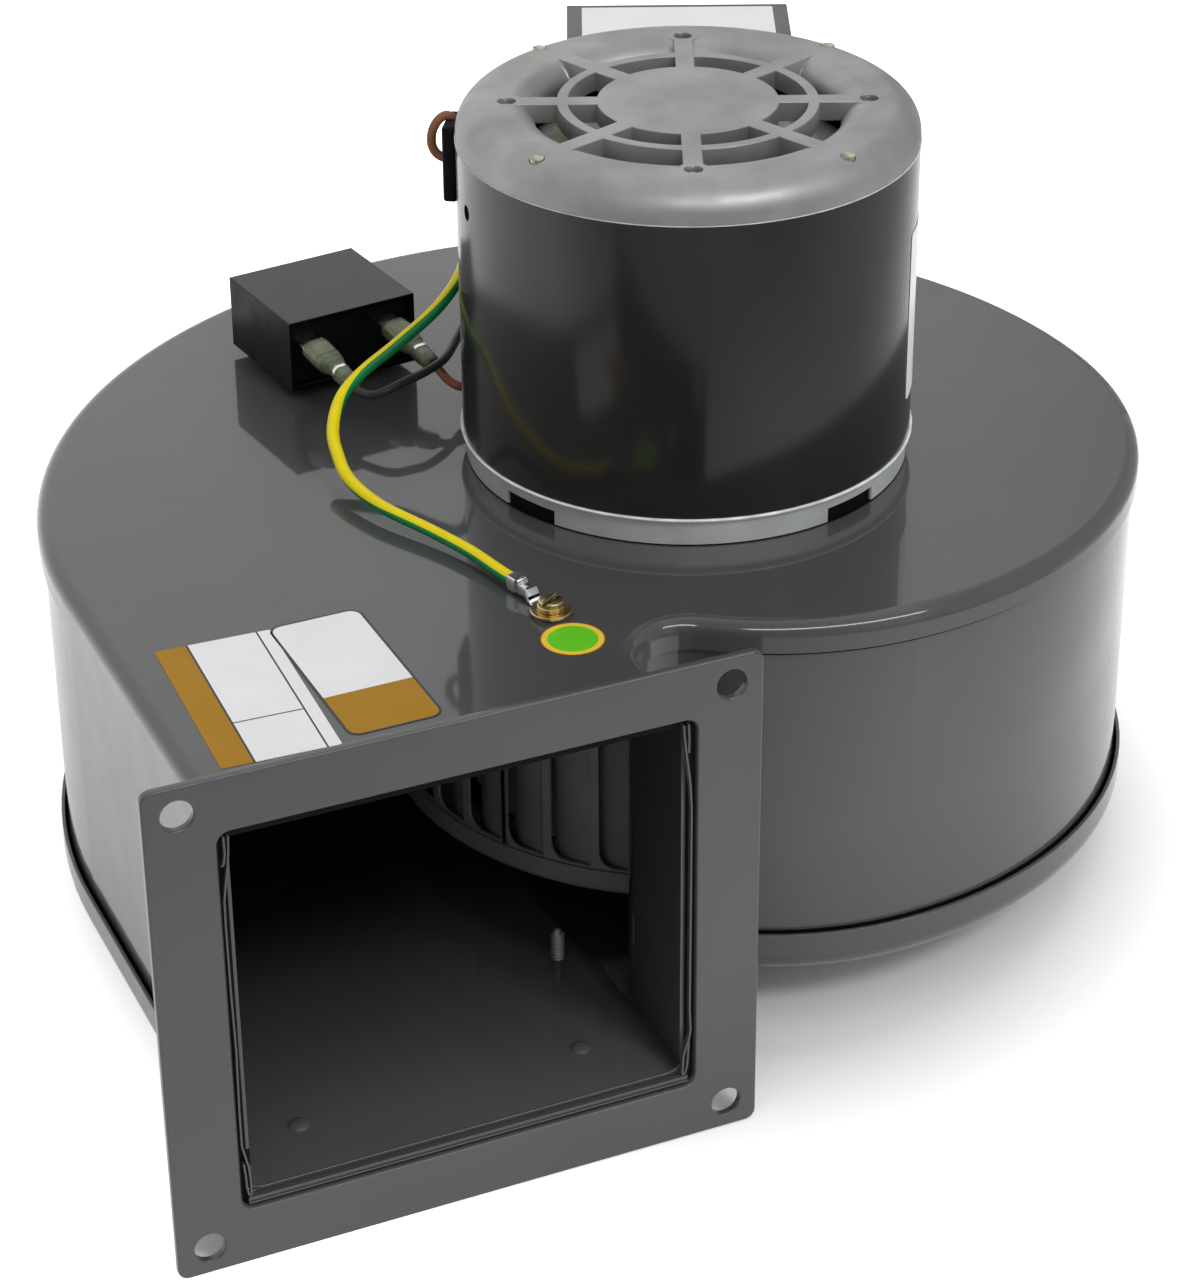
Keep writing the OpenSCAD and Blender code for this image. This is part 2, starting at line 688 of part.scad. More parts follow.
module junction_box_cover() {
    turned = 8;
    inner_w = box_w - 2 * box_t - 2 * seat_gap;
    inner_h = box_h - 2 * box_t - 2 * seat_gap;
    color("dimgray") on_motor([box_turn]) translate([box_far - box_t, 0, box_top - box_h / 2]) difference() {
        union() {
            translate([0, -box_w / 2, -box_h / 2]) cube([box_t, box_w, box_h]);
            for (side = [0, 180]) rotate([side, 0, 0]) translate([-turned, inner_w / 2 - box_t, -inner_h / 2])
                cube([turned, box_t, inner_h]);
        }
        for (side = [-1, 1]) translate([-cut, 0, side * cover_screw_z]) rotate([0, 90, 0])
            cylinder(h = box_t + 2 * cut, r = screw_r + seat_gap);
    }
}

module cover_screws() {
    color("silver") on_motor([box_turn]) for (side = [-1, 1])
        translate([box_far, 0, box_top - box_h / 2 + side * cover_screw_z]) rotate([0, -90, 0])
            screw_up(cover_screw_l);
}

module lead_grommet() {
    wall_out = box_w / 2;
    color([0.08, 0.08, 0.08]) on_motor([box_turn]) translate([grommet_x, wall_out, grommet_z])
        rotate([-90, 0, 0]) {
            cylinder(h = grommet_flange_t, r = grommet_r);
            translate([0, 0, -box_t]) cylinder(h = box_t, r = grommet_neck_r);
            translate([0, 0, -box_t - grommet_flange_t]) cylinder(h = grommet_flange_t, r = grommet_r);
        }
}

module lead_bushing() {
    bushing_h = bushing_high - bushing_low;
    color([0.08, 0.08, 0.08]) translate([0, 0, deck_z]) rotate(bushing_turn) difference() {
        translate([0, -bushing_w / 2, bushing_low]) cube([shell_r + bushing_t, bushing_w, bushing_h]);
        translate([0, 0, bushing_low - cut]) cylinder(h = bushing_h + 2 * cut, r = shell_r + seat_gap);
    }
}

// Places its children in the capacitor's own turn, over the deck
module on_capacitor() {
    translate([cap_x, cap_y, deck_z]) rotate(cap_turn) children();
}
cap_foot_r = 7;
cap_screw_depth = 7;

module capacitor_case() {
    color([0.12, 0.12, 0.12]) on_capacitor() difference() {
        union() {
            translate([-cap_w / 2, -cap_l / 2, cap_lift]) cube([cap_w, cap_l, cap_h]);
            cylinder(h = cap_lift + cap_wall, r = cap_foot_r);
        }
        translate([-cap_w / 2 + cap_wall, -cap_l / 2 - cut, cap_lift + cap_wall])
            cube([cap_w - 2 * cap_wall, potting_depth + cut, cap_h - 2 * cap_wall]);
        translate([0, 0, -cut]) cylinder(h = cap_screw_depth + cut, r = screw_r + seat_gap);
    }
}

module capacitor_potting() {
    crown = 1;
    color([0.05, 0.05, 0.05]) on_capacitor() difference() {
        translate([-cap_w / 2 + cap_wall, -cap_l / 2 + potting_depth - crown, cap_lift + cap_wall])
            cube([cap_w - 2 * cap_wall, crown, cap_h - 2 * cap_wall]);
        at_tabs() translate([-tab_w / 2 - seat_gap, -tab_l, -tab_t / 2 - seat_gap])
            cube([tab_w + 2 * seat_gap, 2 * tab_l, tab_t + 2 * seat_gap]);
    }
}

// Places its children at each capacitor tab, with -Y along the tab
module at_tabs() {
    for (x = tab_places) translate([x, potting_depth - cap_l / 2, tab_z]) rotate(tab_yaw)
        rotate([tab_tilt, 0, 0]) children();
}

module capacitor_tabs() {
    color("silver") on_capacitor() intersection() {
        at_tabs() translate([-tab_w / 2, -tab_l, -tab_t / 2]) cube([tab_w, 2 * tab_l, tab_t]);
        translate([-cap_w / 2, -cap_l / 2 + potting_depth - 2 * tab_l, 0])
            cube([cap_w, 2 * tab_l, cap_lift + cap_h]);
    }
}

module capacitor_screw() {
    color("silver") translate([cap_x, cap_y, deck_z - sheet_t]) screw_up(sheet_t + cap_screw_depth - 1);
}

module push_on_sleeves() {
    corner_r = 2.2;
    color("darkolivegreen") on_capacitor() at_tabs() rotate([90, 0, 0]) {
        translate([0, 0, sleeve_start]) linear_extrude(sleeve_l) difference() {
            round_plate(sleeve_w, sleeve_h, corner_r);
            square([tab_w + 2 * seat_gap, tab_t + 2 * seat_gap], center = true);
        }
        translate([0, 0, sleeve_start + sleeve_l])
            cylinder(h = sleeve_end - sleeve_start - sleeve_l, r = sleeve_tail_r);
    }
}

ground_washer_r = 5.6;
ground_washer_t = 0.9;
ground_head_r = 3.7;
ground_head_h = 2.8;
ground_tip = 10;

module ring_terminal() {
    color("silver") translate([ground_at.x, ground_at.y, deck_z]) rotate(ground_turn) difference() {
        union() {
            cylinder(h = terminal_t, r = terminal_ring_r);
            translate([0, -terminal_neck_w / 2, 0]) cube([barrel_from + 2, terminal_neck_w, terminal_t]);
            translate([barrel_from, 0, barrel_z]) rotate([0, 90, 0])
                cylinder(h = barrel_to - barrel_from, r = barrel_r);
        }
        translate([0, 0, -cut]) cylinder(h = terminal_t + 2 * cut, r = screw_r + seat_gap);
    }
}

module ground_washer() {
    color("khaki") translate([ground_at.x, ground_at.y, deck_z + terminal_t]) difference() {
        cylinder(h = ground_washer_t, r = ground_washer_r);
        translate([0, 0, -cut]) cylinder(h = ground_washer_t + 2 * cut, r = screw_r + seat_gap);
    }
}

module ground_screw() {
    seat = terminal_t + ground_washer_t;
    color("khaki") translate([ground_at.x, ground_at.y, deck_z + seat]) difference() {
        union() {
            cylinder(h = ground_head_h, r = ground_head_r);
            translate([0, 0, -seat - ground_tip]) cylinder(h = seat + ground_tip, r = screw_r);
        }
        translate([0, 0, ground_head_h]) cube([2 * ground_head_r + cut, 1.2, 2], center = true);
    }
}

module ground_lead() { color("gold") lead(ground_route, ground_lead_r, 26); }

module grey_lead() { color("dimgray") lead(grey_route, lead_r, 24); }

module brown_lead() { color("saddlebrown") lead(brown_route, lead_r, 18); }

module loop_lead() { color("saddlebrown") rotate(bushing_turn) lead(loop_route, lead_r, 10, [0, 1, 0]); }

module shaft() {
    top = deck_z + bell_top - spoke_h - seat_gap * 5;
    color("lightsteelblue") translate([0, 0, shaft_low]) cylinder(h = top - shaft_low, r = shaft_r);
}

cage_h = 7;
cage_inner_r = 20;

module rotor_core() {
    color("slategray") translate([0, 0, deck_z + core_z]) difference() {
        cylinder(h = core_h, r = rotor_r);
        translate([0, 0, -cut]) cylinder(h = core_h + 2 * cut, r = shaft_r + running_gap / 2);
    }
}

module rotor_cage() {
    color("gainsboro") for (level = [core_z - cage_h, core_z + core_h]) translate([0, 0, deck_z + level])
        difference() {
            cylinder(h = cage_h, r = rotor_r - 1);
            translate([0, 0, -cut]) cylinder(h = cage_h + 2 * cut, r = cage_inner_r);
        }
}

module thrust_washers() {
    low = deck_z + low_seat_z + bearing_h + 3 * seat_gap;
    high = deck_z + high_seat_z - 3 * seat_gap - washer_t;
    color("black") for (level = [low, high]) translate([0, 0, level]) difference() {
        cylinder(h = washer_t, r = bearing_r - 2);
        translate([0, 0, -cut]) cylinder(h = washer_t + 2 * cut, r = shaft_r + running_gap / 2);
    }
}

hub_flange_t = 2.4;
hub_rivet_circle_r = (hub_r + hub_flange_r) / 2;
hub_rivet_r = 2;
set_screw_z = wheel_top - wheel_t - hub_h + 8;

module wheel_hub() {
    color("lightgray") difference() {
        union() {
            translate([0, 0, wheel_top - wheel_t - hub_h]) cylinder(h = hub_h, r = hub_r);
            translate([0, 0, wheel_top - wheel_t - hub_flange_t])
                cylinder(h = hub_flange_t, r = hub_flange_r);
        }
        translate([0, 0, wheel_top - wheel_t - hub_h - cut])
            cylinder(h = hub_h + 2 * cut, r = shaft_r + running_gap / 2);
        translate([0, 0, set_screw_z]) rotate([0, 90, 0]) cylinder(h = hub_r + cut, r = screw_r + seat_gap);
        for (turn = diagonals) rotate(turn)
            translate([hub_rivet_circle_r, 0, wheel_top - wheel_t - hub_flange_t - cut])
                cylinder(h = hub_flange_t + 2 * cut, r = hub_rivet_r + seat_gap);
    }
}

module hub_set_screw() {
    color("dimgray") translate([shaft_r + seat_gap, 0, set_screw_z]) rotate([0, 90, 0])
        cylinder(h = hub_r - shaft_r - 2 * seat_gap, r = screw_r);
}

module hub_rivets() {
    stack = wheel_t + hub_flange_t;
    low = wheel_top - stack;
    color("silver") for (turn = diagonals) rotate(turn) translate([hub_rivet_circle_r, 0, low]) {
        cylinder(h = stack, r = hub_rivet_r);
        for (level = [-rivet_head_h, stack]) translate([0, 0, level])
            cylinder(h = rivet_head_h, r = hub_rivet_r + rivet_head_h);
    }
}

band_edge_r = 2.4;
blade_tip_angle = 3;
blade_sweep = 46;

// Section of a wheel end: a flat ring or disc that bends up into the band round the blades
module band_section(inner_r) {
    translate([inner_r, 0]) square([wheel_r - band_edge_r - inner_r, wheel_t]);
    translate([wheel_r - band_edge_r, band_edge_r]) intersection() {
        difference() {
            circle(band_edge_r);
            circle(band_edge_r - wheel_t);
        }
        translate([0, -band_edge_r]) square(band_edge_r);
    }
    translate([wheel_r - wheel_t, band_edge_r]) square([wheel_t, band_h - band_edge_r]);
}

module wheel_back_plate() {
    color("gray") difference() {
        translate([0, 0, wheel_top]) mirror([0, 0, 1]) rotate_extrude() band_section(shaft_r + 1);
        for (turn = diagonals) rotate(turn) translate([hub_rivet_circle_r, 0, wheel_top - wheel_t - cut])
            cylinder(h = wheel_t + 2 * cut, r = hub_rivet_r + seat_gap);
    }
}

module wheel_inlet_ring() {
    color("gray") translate([0, 0, wheel_low]) rotate_extrude() band_section(wheel_r - blade_depth - wheel_t);
}

// Plan of one forward-curved blade: an arc, hollow towards the turn of the wheel, that starts almost along
// the rim and is bent inwards from there, as on a wheel whose blades are cut and bent out of one strip
module blade_plan() {
    tip_r = wheel_r - band_edge_r - wheel_t / 2;
    reach = 2 * blade_curve_r;
    translate([tip_r - blade_curve_r * cos(blade_tip_angle), blade_curve_r * sin(blade_tip_angle)])
        rotate(-blade_tip_angle - blade_sweep) intersection() {
            difference() {
                circle(blade_curve_r + wheel_t / 2);
                circle(blade_curve_r - wheel_t / 2);
            }
            polygon([[0, 0], [reach, 0], reach * [cos(blade_sweep), sin(blade_sweep)]]);
        }
}

module wheel_blades() {
    color("gray") translate([0, 0, wheel_low + wheel_t]) linear_extrude(wheel_top - wheel_low - 2 * wheel_t)
        for (k = [0 : blade_count - 1]) rotate(360 * k / blade_count) blade_plan();
}

deck_panel();
floor_panel();
scroll_wrap();
outlet_flange();
floor_screw();
floor_rivets();
lower_end_bell();
motor_shell();
upper_end_bell();
stator_core();
stator_windings();
lower_bearing();
upper_bearing();
through_bolts();
grille_studs();
motor_screws();
junction_box();
junction_box_cover();
cover_screws();
lead_grommet();
lead_bushing();
capacitor_case();
capacitor_potting();
capacitor_tabs();
capacitor_screw();
push_on_sleeves();
ground_screw();
ground_washer();
ring_terminal();
ground_lead();
grey_lead();
brown_lead();
loop_lead();
shaft();
rotor_core();
rotor_cage();
thrust_washers();
wheel_hub();
hub_set_screw();
hub_rivets();
wheel_back_plate();
wheel_blades();
wheel_inlet_ring();
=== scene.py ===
# %% [markdown]
# # A centrifugal blower, dressed for a studio picture
#
# The object is a small scroll blower: a drawn sheet-metal housing, a squirrel-cage wheel inside it, and
# a motor that stands on the deck with its capacitor and leads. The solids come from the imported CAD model.
# This lesson keeps the ones whose shape is already right, gives them finishes, and models finer pieces in
# the place of those that a camera would show as too sharp or too plain.

# %% Load the CAD frame
import json
import math

import bmesh
import bpy
from mathutils import Matrix, Vector


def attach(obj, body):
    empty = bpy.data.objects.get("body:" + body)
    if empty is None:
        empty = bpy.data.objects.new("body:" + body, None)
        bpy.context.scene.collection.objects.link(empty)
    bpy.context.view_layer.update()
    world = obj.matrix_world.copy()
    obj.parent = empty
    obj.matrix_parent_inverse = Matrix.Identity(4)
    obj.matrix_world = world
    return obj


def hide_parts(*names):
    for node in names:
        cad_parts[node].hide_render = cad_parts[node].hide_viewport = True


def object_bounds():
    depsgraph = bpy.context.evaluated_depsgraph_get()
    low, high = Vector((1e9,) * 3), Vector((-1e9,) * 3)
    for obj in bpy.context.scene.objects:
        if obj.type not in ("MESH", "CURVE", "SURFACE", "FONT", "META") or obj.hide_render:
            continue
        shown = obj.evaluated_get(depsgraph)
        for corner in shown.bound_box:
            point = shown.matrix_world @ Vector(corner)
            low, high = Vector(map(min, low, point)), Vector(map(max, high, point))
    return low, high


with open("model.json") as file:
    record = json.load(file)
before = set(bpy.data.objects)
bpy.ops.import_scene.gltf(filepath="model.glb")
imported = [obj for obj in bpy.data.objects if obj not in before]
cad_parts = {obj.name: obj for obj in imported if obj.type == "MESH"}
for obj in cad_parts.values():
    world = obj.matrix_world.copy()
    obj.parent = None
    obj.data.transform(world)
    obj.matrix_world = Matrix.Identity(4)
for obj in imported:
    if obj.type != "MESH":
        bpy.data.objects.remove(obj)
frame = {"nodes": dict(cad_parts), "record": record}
nodes = frame["nodes"]
cad_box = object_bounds()
MM = 0.001
DECK = 107.0
print("nodes:", len(nodes), "box:", cad_box)

# %% [markdown]
# ## The camera
#
# A product photograph is taken with a longish lens from above the front corner. Blender's camera looks
# along its own -Z, so its matrix is built from three directions: right, up and backwards. The yaw, pitch
# and roll were solved from straight edges of known size on the object, which is surer than turning the
# camera by eye.

# %% Camera
yaw, pitch, roll = (math.radians(a) for a in (23.9925, 30.024, -0.4007))
ahead = Vector((math.sin(yaw) * math.cos(pitch), math.cos(yaw) * math.cos(pitch), -math.sin(pitch)))
right = Vector((math.cos(yaw), -math.sin(yaw), 0))
up = right.cross(ahead)
tilted_right = math.cos(roll) * right + math.sin(roll) * up
tilted_up = math.cos(roll) * up - math.sin(roll) * right

lens = bpy.data.cameras.new("camera")
lens.lens = 99.46
lens.sensor_width = 36
camera = bpy.data.objects.new("camera", lens)
bpy.context.collection.objects.link(camera)
camera.matrix_world = Matrix.Translation((-0.39083, -0.81689, 0.56438)) @ Matrix(
    (tilted_right, tilted_up, -ahead)).transposed().to_4x4()
bpy.context.scene.camera = camera
print("camera at", tuple(round(c, 3) for c in camera.location))

# %% [markdown]
# ## Finishes
#
# A finish starts from one Principled shader. Whatever is the same all over the surface is set on the
# shader itself. What varies, such as blotches in the colour, worn patches in the gloss or a fine relief,
# comes from noise on Object coordinates, which are metres here, so a scale of 100 means features of about
# a centimetre. Three helpers add blotches, a range of gloss and a relief, and a fourth puts them together, so
# a finish below is one call: its blotches, its gloss, its relief, and then what is even.

# %% Helpers for finishes
NOISE_LOW, NOISE_HIGH = 0.3, 0.7
RELIEF_DETAIL = 2.0


def new_finish(name, color, roughness, **sockets):
    """A material with one Principled shader and its even values."""
    finish = bpy.data.materials.new(name)
    finish.use_nodes = True
    shader = finish.node_tree.nodes["Principled BSDF"]
    shader.inputs["Base Color"].default_value = (*color, 1)
    shader.inputs["Roughness"].default_value = roughness
    for socket, value in sockets.items():
        shader.inputs[socket.replace("_", " ")].default_value = value
    return finish


def add_node(tree, kind, *values, operation=None, **named):
    """A shader node whose inputs, in order or by name, are linked to sockets or set to values."""
    made = tree.nodes.new("ShaderNode" + kind)
    if operation:
        made.operation = operation
    inputs = list(zip(made.inputs, values)) + [(made.inputs[name], value) for name, value in named.items()]
    for socket, value in inputs:
        if isinstance(value, bpy.types.NodeSocket):
            tree.links.new(value, socket)
        else:
            socket.default_value = value
    return made


def noise(finish, scale, detail, stretch=(1, 1, 1)):
    """A noise texture on Object coordinates."""
    tree = finish.node_tree
    mapping = add_node(tree, "Mapping", add_node(tree, "TexCoord").outputs["Object"], Scale=stretch)
    return add_node(tree, "TexNoise", mapping.outputs["Vector"], Scale=scale, Detail=detail).outputs["Fac"]


def ranged(tree, value, *span):
    """Maps a socket from one span to another, whose ends may be sockets too."""
    return add_node(tree, "MapRange", value, *span).outputs["Result"]


def add_blotches(finish, scale, dark, light, detail=4.0, span=(NOISE_LOW, NOISE_HIGH)):
    """Lets the colour wander between two shades."""
    tree = finish.node_tree
    ramp = add_node(tree, "ValToRGB", noise(finish, scale, detail))
    for end, (position, shade) in enumerate(zip(span, (dark, light))):
        ramp.color_ramp.elements[end].position = position
        ramp.color_ramp.elements[end].color = (*shade, 1)
    tree.links.new(ramp.outputs["Color"], tree.nodes["Principled BSDF"].inputs["Base Color"])


def add_gloss_range(finish, scale, low, high, detail=3.0, stretch=(1, 1, 1)):
    """Lets the roughness wander between two values."""
    tree = finish.node_tree
    wander = ranged(tree, noise(finish, scale, detail, stretch), NOISE_LOW, NOISE_HIGH, low, high)
    tree.links.new(wander, tree.nodes["Principled BSDF"].inputs["Roughness"])


def add_relief(finish, layers):
    """Chains bumps of (scale, depth in mm, strength, stretch if any) into the shader's normals."""
    tree = finish.node_tree
    shader = tree.nodes["Principled BSDF"]
    below = None
    for scale, depth, strength, *stretch in layers:
        grain = noise(finish, scale, RELIEF_DETAIL, *stretch)
        bump = add_node(tree, "Bump", Strength=strength, Distance=depth * MM, Height=grain)
        if below:
            tree.links.new(below, bump.inputs["Normal"])
        below = bump.outputs["Normal"]
    tree.links.new(below, shader.inputs["Normal"])
    if shader.inputs["Coat Weight"].default_value > 0:
        tree.links.new(below, shader.inputs["Coat Normal"])


def varied(name, blotches, gloss, relief, **even):
    """A finish from its blotches (scale, dark, light), gloss (scale, low, high), relief and even values."""
    finish = new_finish(name, blotches[2], gloss[2], **even)
    add_blotches(finish, *blotches)
    add_gloss_range(finish, *gloss)
    add_relief(finish, relief)
    print("finish:", name)
    return finish


# %% [markdown]
# ## Painted sheet metal
#
# The housing is drawn steel under a smooth dark grey gloss paint. The photograph shows it almost as a
# mirror where the view grazes it, so the paint gets a clear coat over a satin base. Two reliefs keep it
# from looking like glass: orange peel a few millimetres across, and the slow waves of pressed sheet.

# %% Paints
housing_paint = varied(
    "housing_paint", (22, (0.063, 0.0645, 0.067), (0.069, 0.0705, 0.073)), (60, 0.28, 0.38),
    [(9, 0.35, 0.05), (420, 0.02, 0.06)], Coat_Weight=1.0, Coat_Roughness=0.05, Specular_IOR_Level=0.08)

shell_paint = varied(
    "shell_paint", (30, (0.0128, 0.0132, 0.014), (0.0152, 0.0156, 0.0164)), (50, 0.36, 0.46),
    [(14, 0.3, 0.05, (1, 1, 0.5)), (500, 0.02, 0.06)], Coat_Weight=0.9, Coat_Roughness=0.15,
    Specular_IOR_Level=0.08)

box_paint = varied(
    "box_paint", (26, (0.09, 0.091, 0.094), (0.11, 0.111, 0.114)), (60, 0.36, 0.5), [(450, 0.03, 0.1)])

wheel_coat = varied(
    "wheel_coat", (35, (0.13, 0.135, 0.137), (0.17, 0.175, 0.177)), (70, 0.28, 0.42), [(380, 0.03, 0.08)])

# A near-black finish that paints shade where light hardly reaches: in gaps, slots, recesses and on the ledge inside
# the flange's opening.
painted_shade = varied(
    "painted_shade", (90, (0.003, 0.003, 0.0032), (0.005, 0.005, 0.0052)), (120, 0.52, 0.7), [(600, 0.02, 0.1)],
    Specular_IOR_Level=0.1)

# %% [markdown]
# ## Bare metals
#
# The two end bells are aluminium die castings. A casting has a dull, slightly cloudy skin, so its colour
# and its gloss both wander, and a fine grain breaks up the reflection. Stampings, plated screws and the
# sintered bearings are told apart by their colour and by how rough they are. The windings are varnished wire,
# so their relief is drawn out along one direction.

# %% Metals and windings
cast_aluminium = varied(
    "cast_aluminium", (55, (0.32, 0.33, 0.315), (0.43, 0.44, 0.435), 6.0), (80, 0.42, 0.60, 5.0),
    [(60, 0.12, 0.12), (900, 0.03, 0.22)], Metallic=0.8)

cast_skirt = varied(
    "cast_skirt", (55, (0.43, 0.455, 0.445), (0.56, 0.585, 0.575), 6.0), (80, 0.42, 0.6, 5.0),
    [(60, 0.12, 0.12), (900, 0.03, 0.22)], Metallic=0.3)

core_steel = varied(
    "core_steel", (60, (0.36, 0.36, 0.37), (0.48, 0.48, 0.49)), (90, 0.3, 0.46, 3.0, (1, 1, 40)),
    [(300, 0.03, 0.12, (1, 1, 20))], Metallic=1.0)

bright_steel = varied(
    "bright_steel", (160, (0.58, 0.58, 0.57), (0.72, 0.72, 0.71)), (220, 0.16, 0.32), [(700, 0.02, 0.12)],
    Metallic=1.0)

yellow_zinc = varied(
    "yellow_zinc", (220, (0.5, 0.36, 0.15), (0.62, 0.52, 0.3)), (260, 0.2, 0.36), [(800, 0.02, 0.12)], Metallic=1.0)

# Bare metal for the bead where the shell sits on a bell; its near-white colour partly paints the highlight along that
# edge.
bead_and_highlight = varied(
    "bead_and_highlight", (180, (0.6, 0.62, 0.61), (0.95, 0.96, 0.95)), (200, 0.34, 0.55),
    [(260, 0.3, 0.6), (900, 0.05, 0.3)], Metallic=0.25)

pale_zinc = varied(
    "pale_zinc", (220, (0.44, 0.42, 0.31), (0.56, 0.54, 0.45)), (260, 0.24, 0.38), [(800, 0.02, 0.12)],
    Metallic=1.0)

bearing_bronze = varied(
    "bearing_bronze", (250, (0.4, 0.25, 0.1), (0.56, 0.38, 0.18)), (300, 0.38, 0.55), [(1200, 0.04, 0.25)],
    Metallic=1.0)

winding_varnish = varied(
    "winding_varnish", (60, (0.3, 0.28, 0.12), (0.72, 0.74, 0.74), 4.0, (0.4, 0.6)), (150, 0.28, 0.5),
    [(520, 0.35, 0.8, (1, 1, 0.15)), (160, 0.5, 0.5)], Metallic=0.1, Coat_Weight=0.5, Coat_Roughness=0.2)

# %% [markdown]
# ## Plastics, rubber and insulation
#
# Moulded plastic shows a faint spark-eroded texture, rubber is duller still, and the resin that closes the
# capacitor has set with a slightly wavy skin. The push-on sleeves are clear olive nylon: some of the light
# passes through them, which the shader's transmission gives.

# %% Plastics
capacitor_plastic = varied(
    "capacitor_plastic", (90, (0.0025, 0.0025, 0.0028), (0.0038, 0.0038, 0.0041)), (120, 0.19, 0.28),
    [(1500, 0.02, 0.18)], Specular_IOR_Level=0.38)

capacitor_sides = varied(
    "capacitor_sides", (90, (0.002, 0.002, 0.0023), (0.0032, 0.0032, 0.0035)), (120, 0.34, 0.48),
    [(1500, 0.02, 0.18)], Specular_IOR_Level=0.12)

capacitor_resin = varied(
    "capacitor_resin", (140, (0.004, 0.004, 0.0045), (0.007, 0.007, 0.0075)), (90, 0.2, 0.35), [(130, 0.3, 0.3)],
    Specular_IOR_Level=0.3)

soft_rubber = varied(
    "soft_rubber", (200, (0.003, 0.003, 0.003), (0.0052, 0.0052, 0.0052)), (180, 0.48, 0.66), [(900, 0.03, 0.25)],
    Specular_IOR_Level=0.15)

sleeve_nylon = varied(
    "sleeve_nylon", (260, (0.22, 0.28, 0.15), (0.42, 0.48, 0.33)), (300, 0.1, 0.22), [(400, 0.08, 0.25)],
    Transmission_Weight=0.72, IOR=1.5)


def insulation(name, color, shade):
    """Extruded wire insulation: an even skin with faint drawing marks."""
    return varied(name, (220, tuple(c * shade for c in color), color), (240, 0.38, 0.5), [(1100, 0.02, 0.15)],
                  Specular_IOR_Level=0.28)


lead_yellow = insulation("lead_yellow", (0.93, 0.76, 0.002), 0.94)
lead_green = insulation("lead_green", (0.006, 0.27, 0.075), 0.85)
lead_grey = insulation("lead_grey", (0.034, 0.035, 0.038), 0.85)
lead_brown = insulation("lead_brown", (0.3, 0.115, 0.055), 0.8)

# %% [markdown]
# ## From a bmesh to a piece
#
# Every piece is modelled in millimetres in a bmesh and leaves it through this helper, which scales it to
# metres, shades it smooth up to a crease angle and lets it ride on its CAD body. The object itself stays
# at the origin, so its place is in its mesh.

# %% Helper for pieces
def piece(name, bm, finishes, body="housing", stands_for=(), crease=32, flat=False):
    """Makes an object of a bmesh in millimetres, lets it ride on its body and hides what it stands for; flat keeps
    large faces flat.
    """
    bmesh.ops.scale(bm, vec=(MM, MM, MM), verts=bm.verts)
    mesh = bpy.data.meshes.new(name)
    bm.to_mesh(mesh)
    bm.free()
    for finish in finishes:
        mesh.materials.append(finish)
    mesh.shade_smooth()
    mesh.set_sharp_from_angle(angle=math.radians(crease))
    made = bpy.data.objects.new(name, mesh)
    bpy.context.collection.objects.link(made)
    if flat:
        made.modifiers.new("flat_faces", "WEIGHTED_NORMAL").keep_sharp = True
    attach(made, body)
    if stands_for:
        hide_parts(*stands_for)
    print(name, len(mesh.polygons), "faces")
    return made


def place(bm, *steps, verts=None):
    """Moves vertices by a product of matrices."""
    matrix = Matrix.Identity(4)
    for step in steps:
        matrix = matrix @ step
    bmesh.ops.transform(bm, matrix=matrix, verts=verts or bm.verts)


def shift(x, y, z):
    return Matrix.Translation((x, y, z))


def turn(degrees, axis="Z"):
    return Matrix.Rotation(math.radians(degrees), 4, axis)


# %% [markdown]
# ## Small tools for a bmesh
#
# An operator gives back a mix of vertices, edges and faces, and most steps go on with one kind. The other
# tools are steps that many pieces share.

# %% Tools for a bmesh
VERT, EDGE, FACE = bmesh.types.BMVert, bmesh.types.BMEdge, bmesh.types.BMFace


def pick(geom, kind):
    """The vertices, edges or faces in what an operator gives back."""
    return [item for item in geom if isinstance(item, kind)]


def everything(bm):
    return bm.verts[:] + bm.edges[:] + bm.faces[:]


def face_outwards(bm):
    bmesh.ops.recalc_face_normals(bm, faces=bm.faces)


def bevel(bm, geom, width, segments, affect="EDGES"):
    """Rounds edges or corners."""
    bmesh.ops.bevel(bm, geom=geom, offset=width, offset_type="OFFSET", affect=affect, segments=segments,
                    profile=0.5, clamp_overlap=False, material=-1)


def thicken(bm, height):
    """Gives flat faces a thickness along Z."""
    grown = bmesh.ops.extrude_face_region(bm, geom=bm.faces[:])["geom"]
    bmesh.ops.translate(bm, vec=(0, 0, height), verts=pick(grown, VERT))
    face_outwards(bm)


def join(whole, part):
    """Adds one bmesh to another, by way of a mesh."""
    mesh = bpy.data.meshes.new("part")
    part.to_mesh(mesh)
    part.free()
    whole.from_mesh(mesh)
    bpy.data.meshes.remove(mesh)



# %% [markdown]
# ## The leads
#
# Four leads run between the terminals, the capacitor, the motor and its junction box. They are the only
# free cords on the object, and their routes are the CAD model's. Only the small loop runs on at both ends,
# down inside its bushing. A lead is one ring of edges that is extruded from point to point along a smooth
# curve. The ground lead carries a green stripe on yellow: its faces take one of two finishes by where they
# lie round the ring, and the ring is slowly twisted, so the stripe winds from the left side to the underside
# as it does on the real lead.

# %% Routes as smooth curves
def smooth_route(points, steps=9):
    """Points along a Catmull-Rom curve through the route's points."""
    p = [Vector(q) for q in points]
    p = [2 * p[0] - p[1]] + p + [2 * p[-1] - p[-2]]
    path = []
    for a, b, c, d in zip(p, p[1:], p[2:], p[3:]):
        for k in range(steps):
            f = k / steps
            path.append(b + (c - a) * f / 2 + (2 * a - 5 * b + 4 * c - d) * f ** 2 / 2
                        + (3 * b - a - 3 * c + d) * f ** 3 / 2)
    return path + [p[-2]]


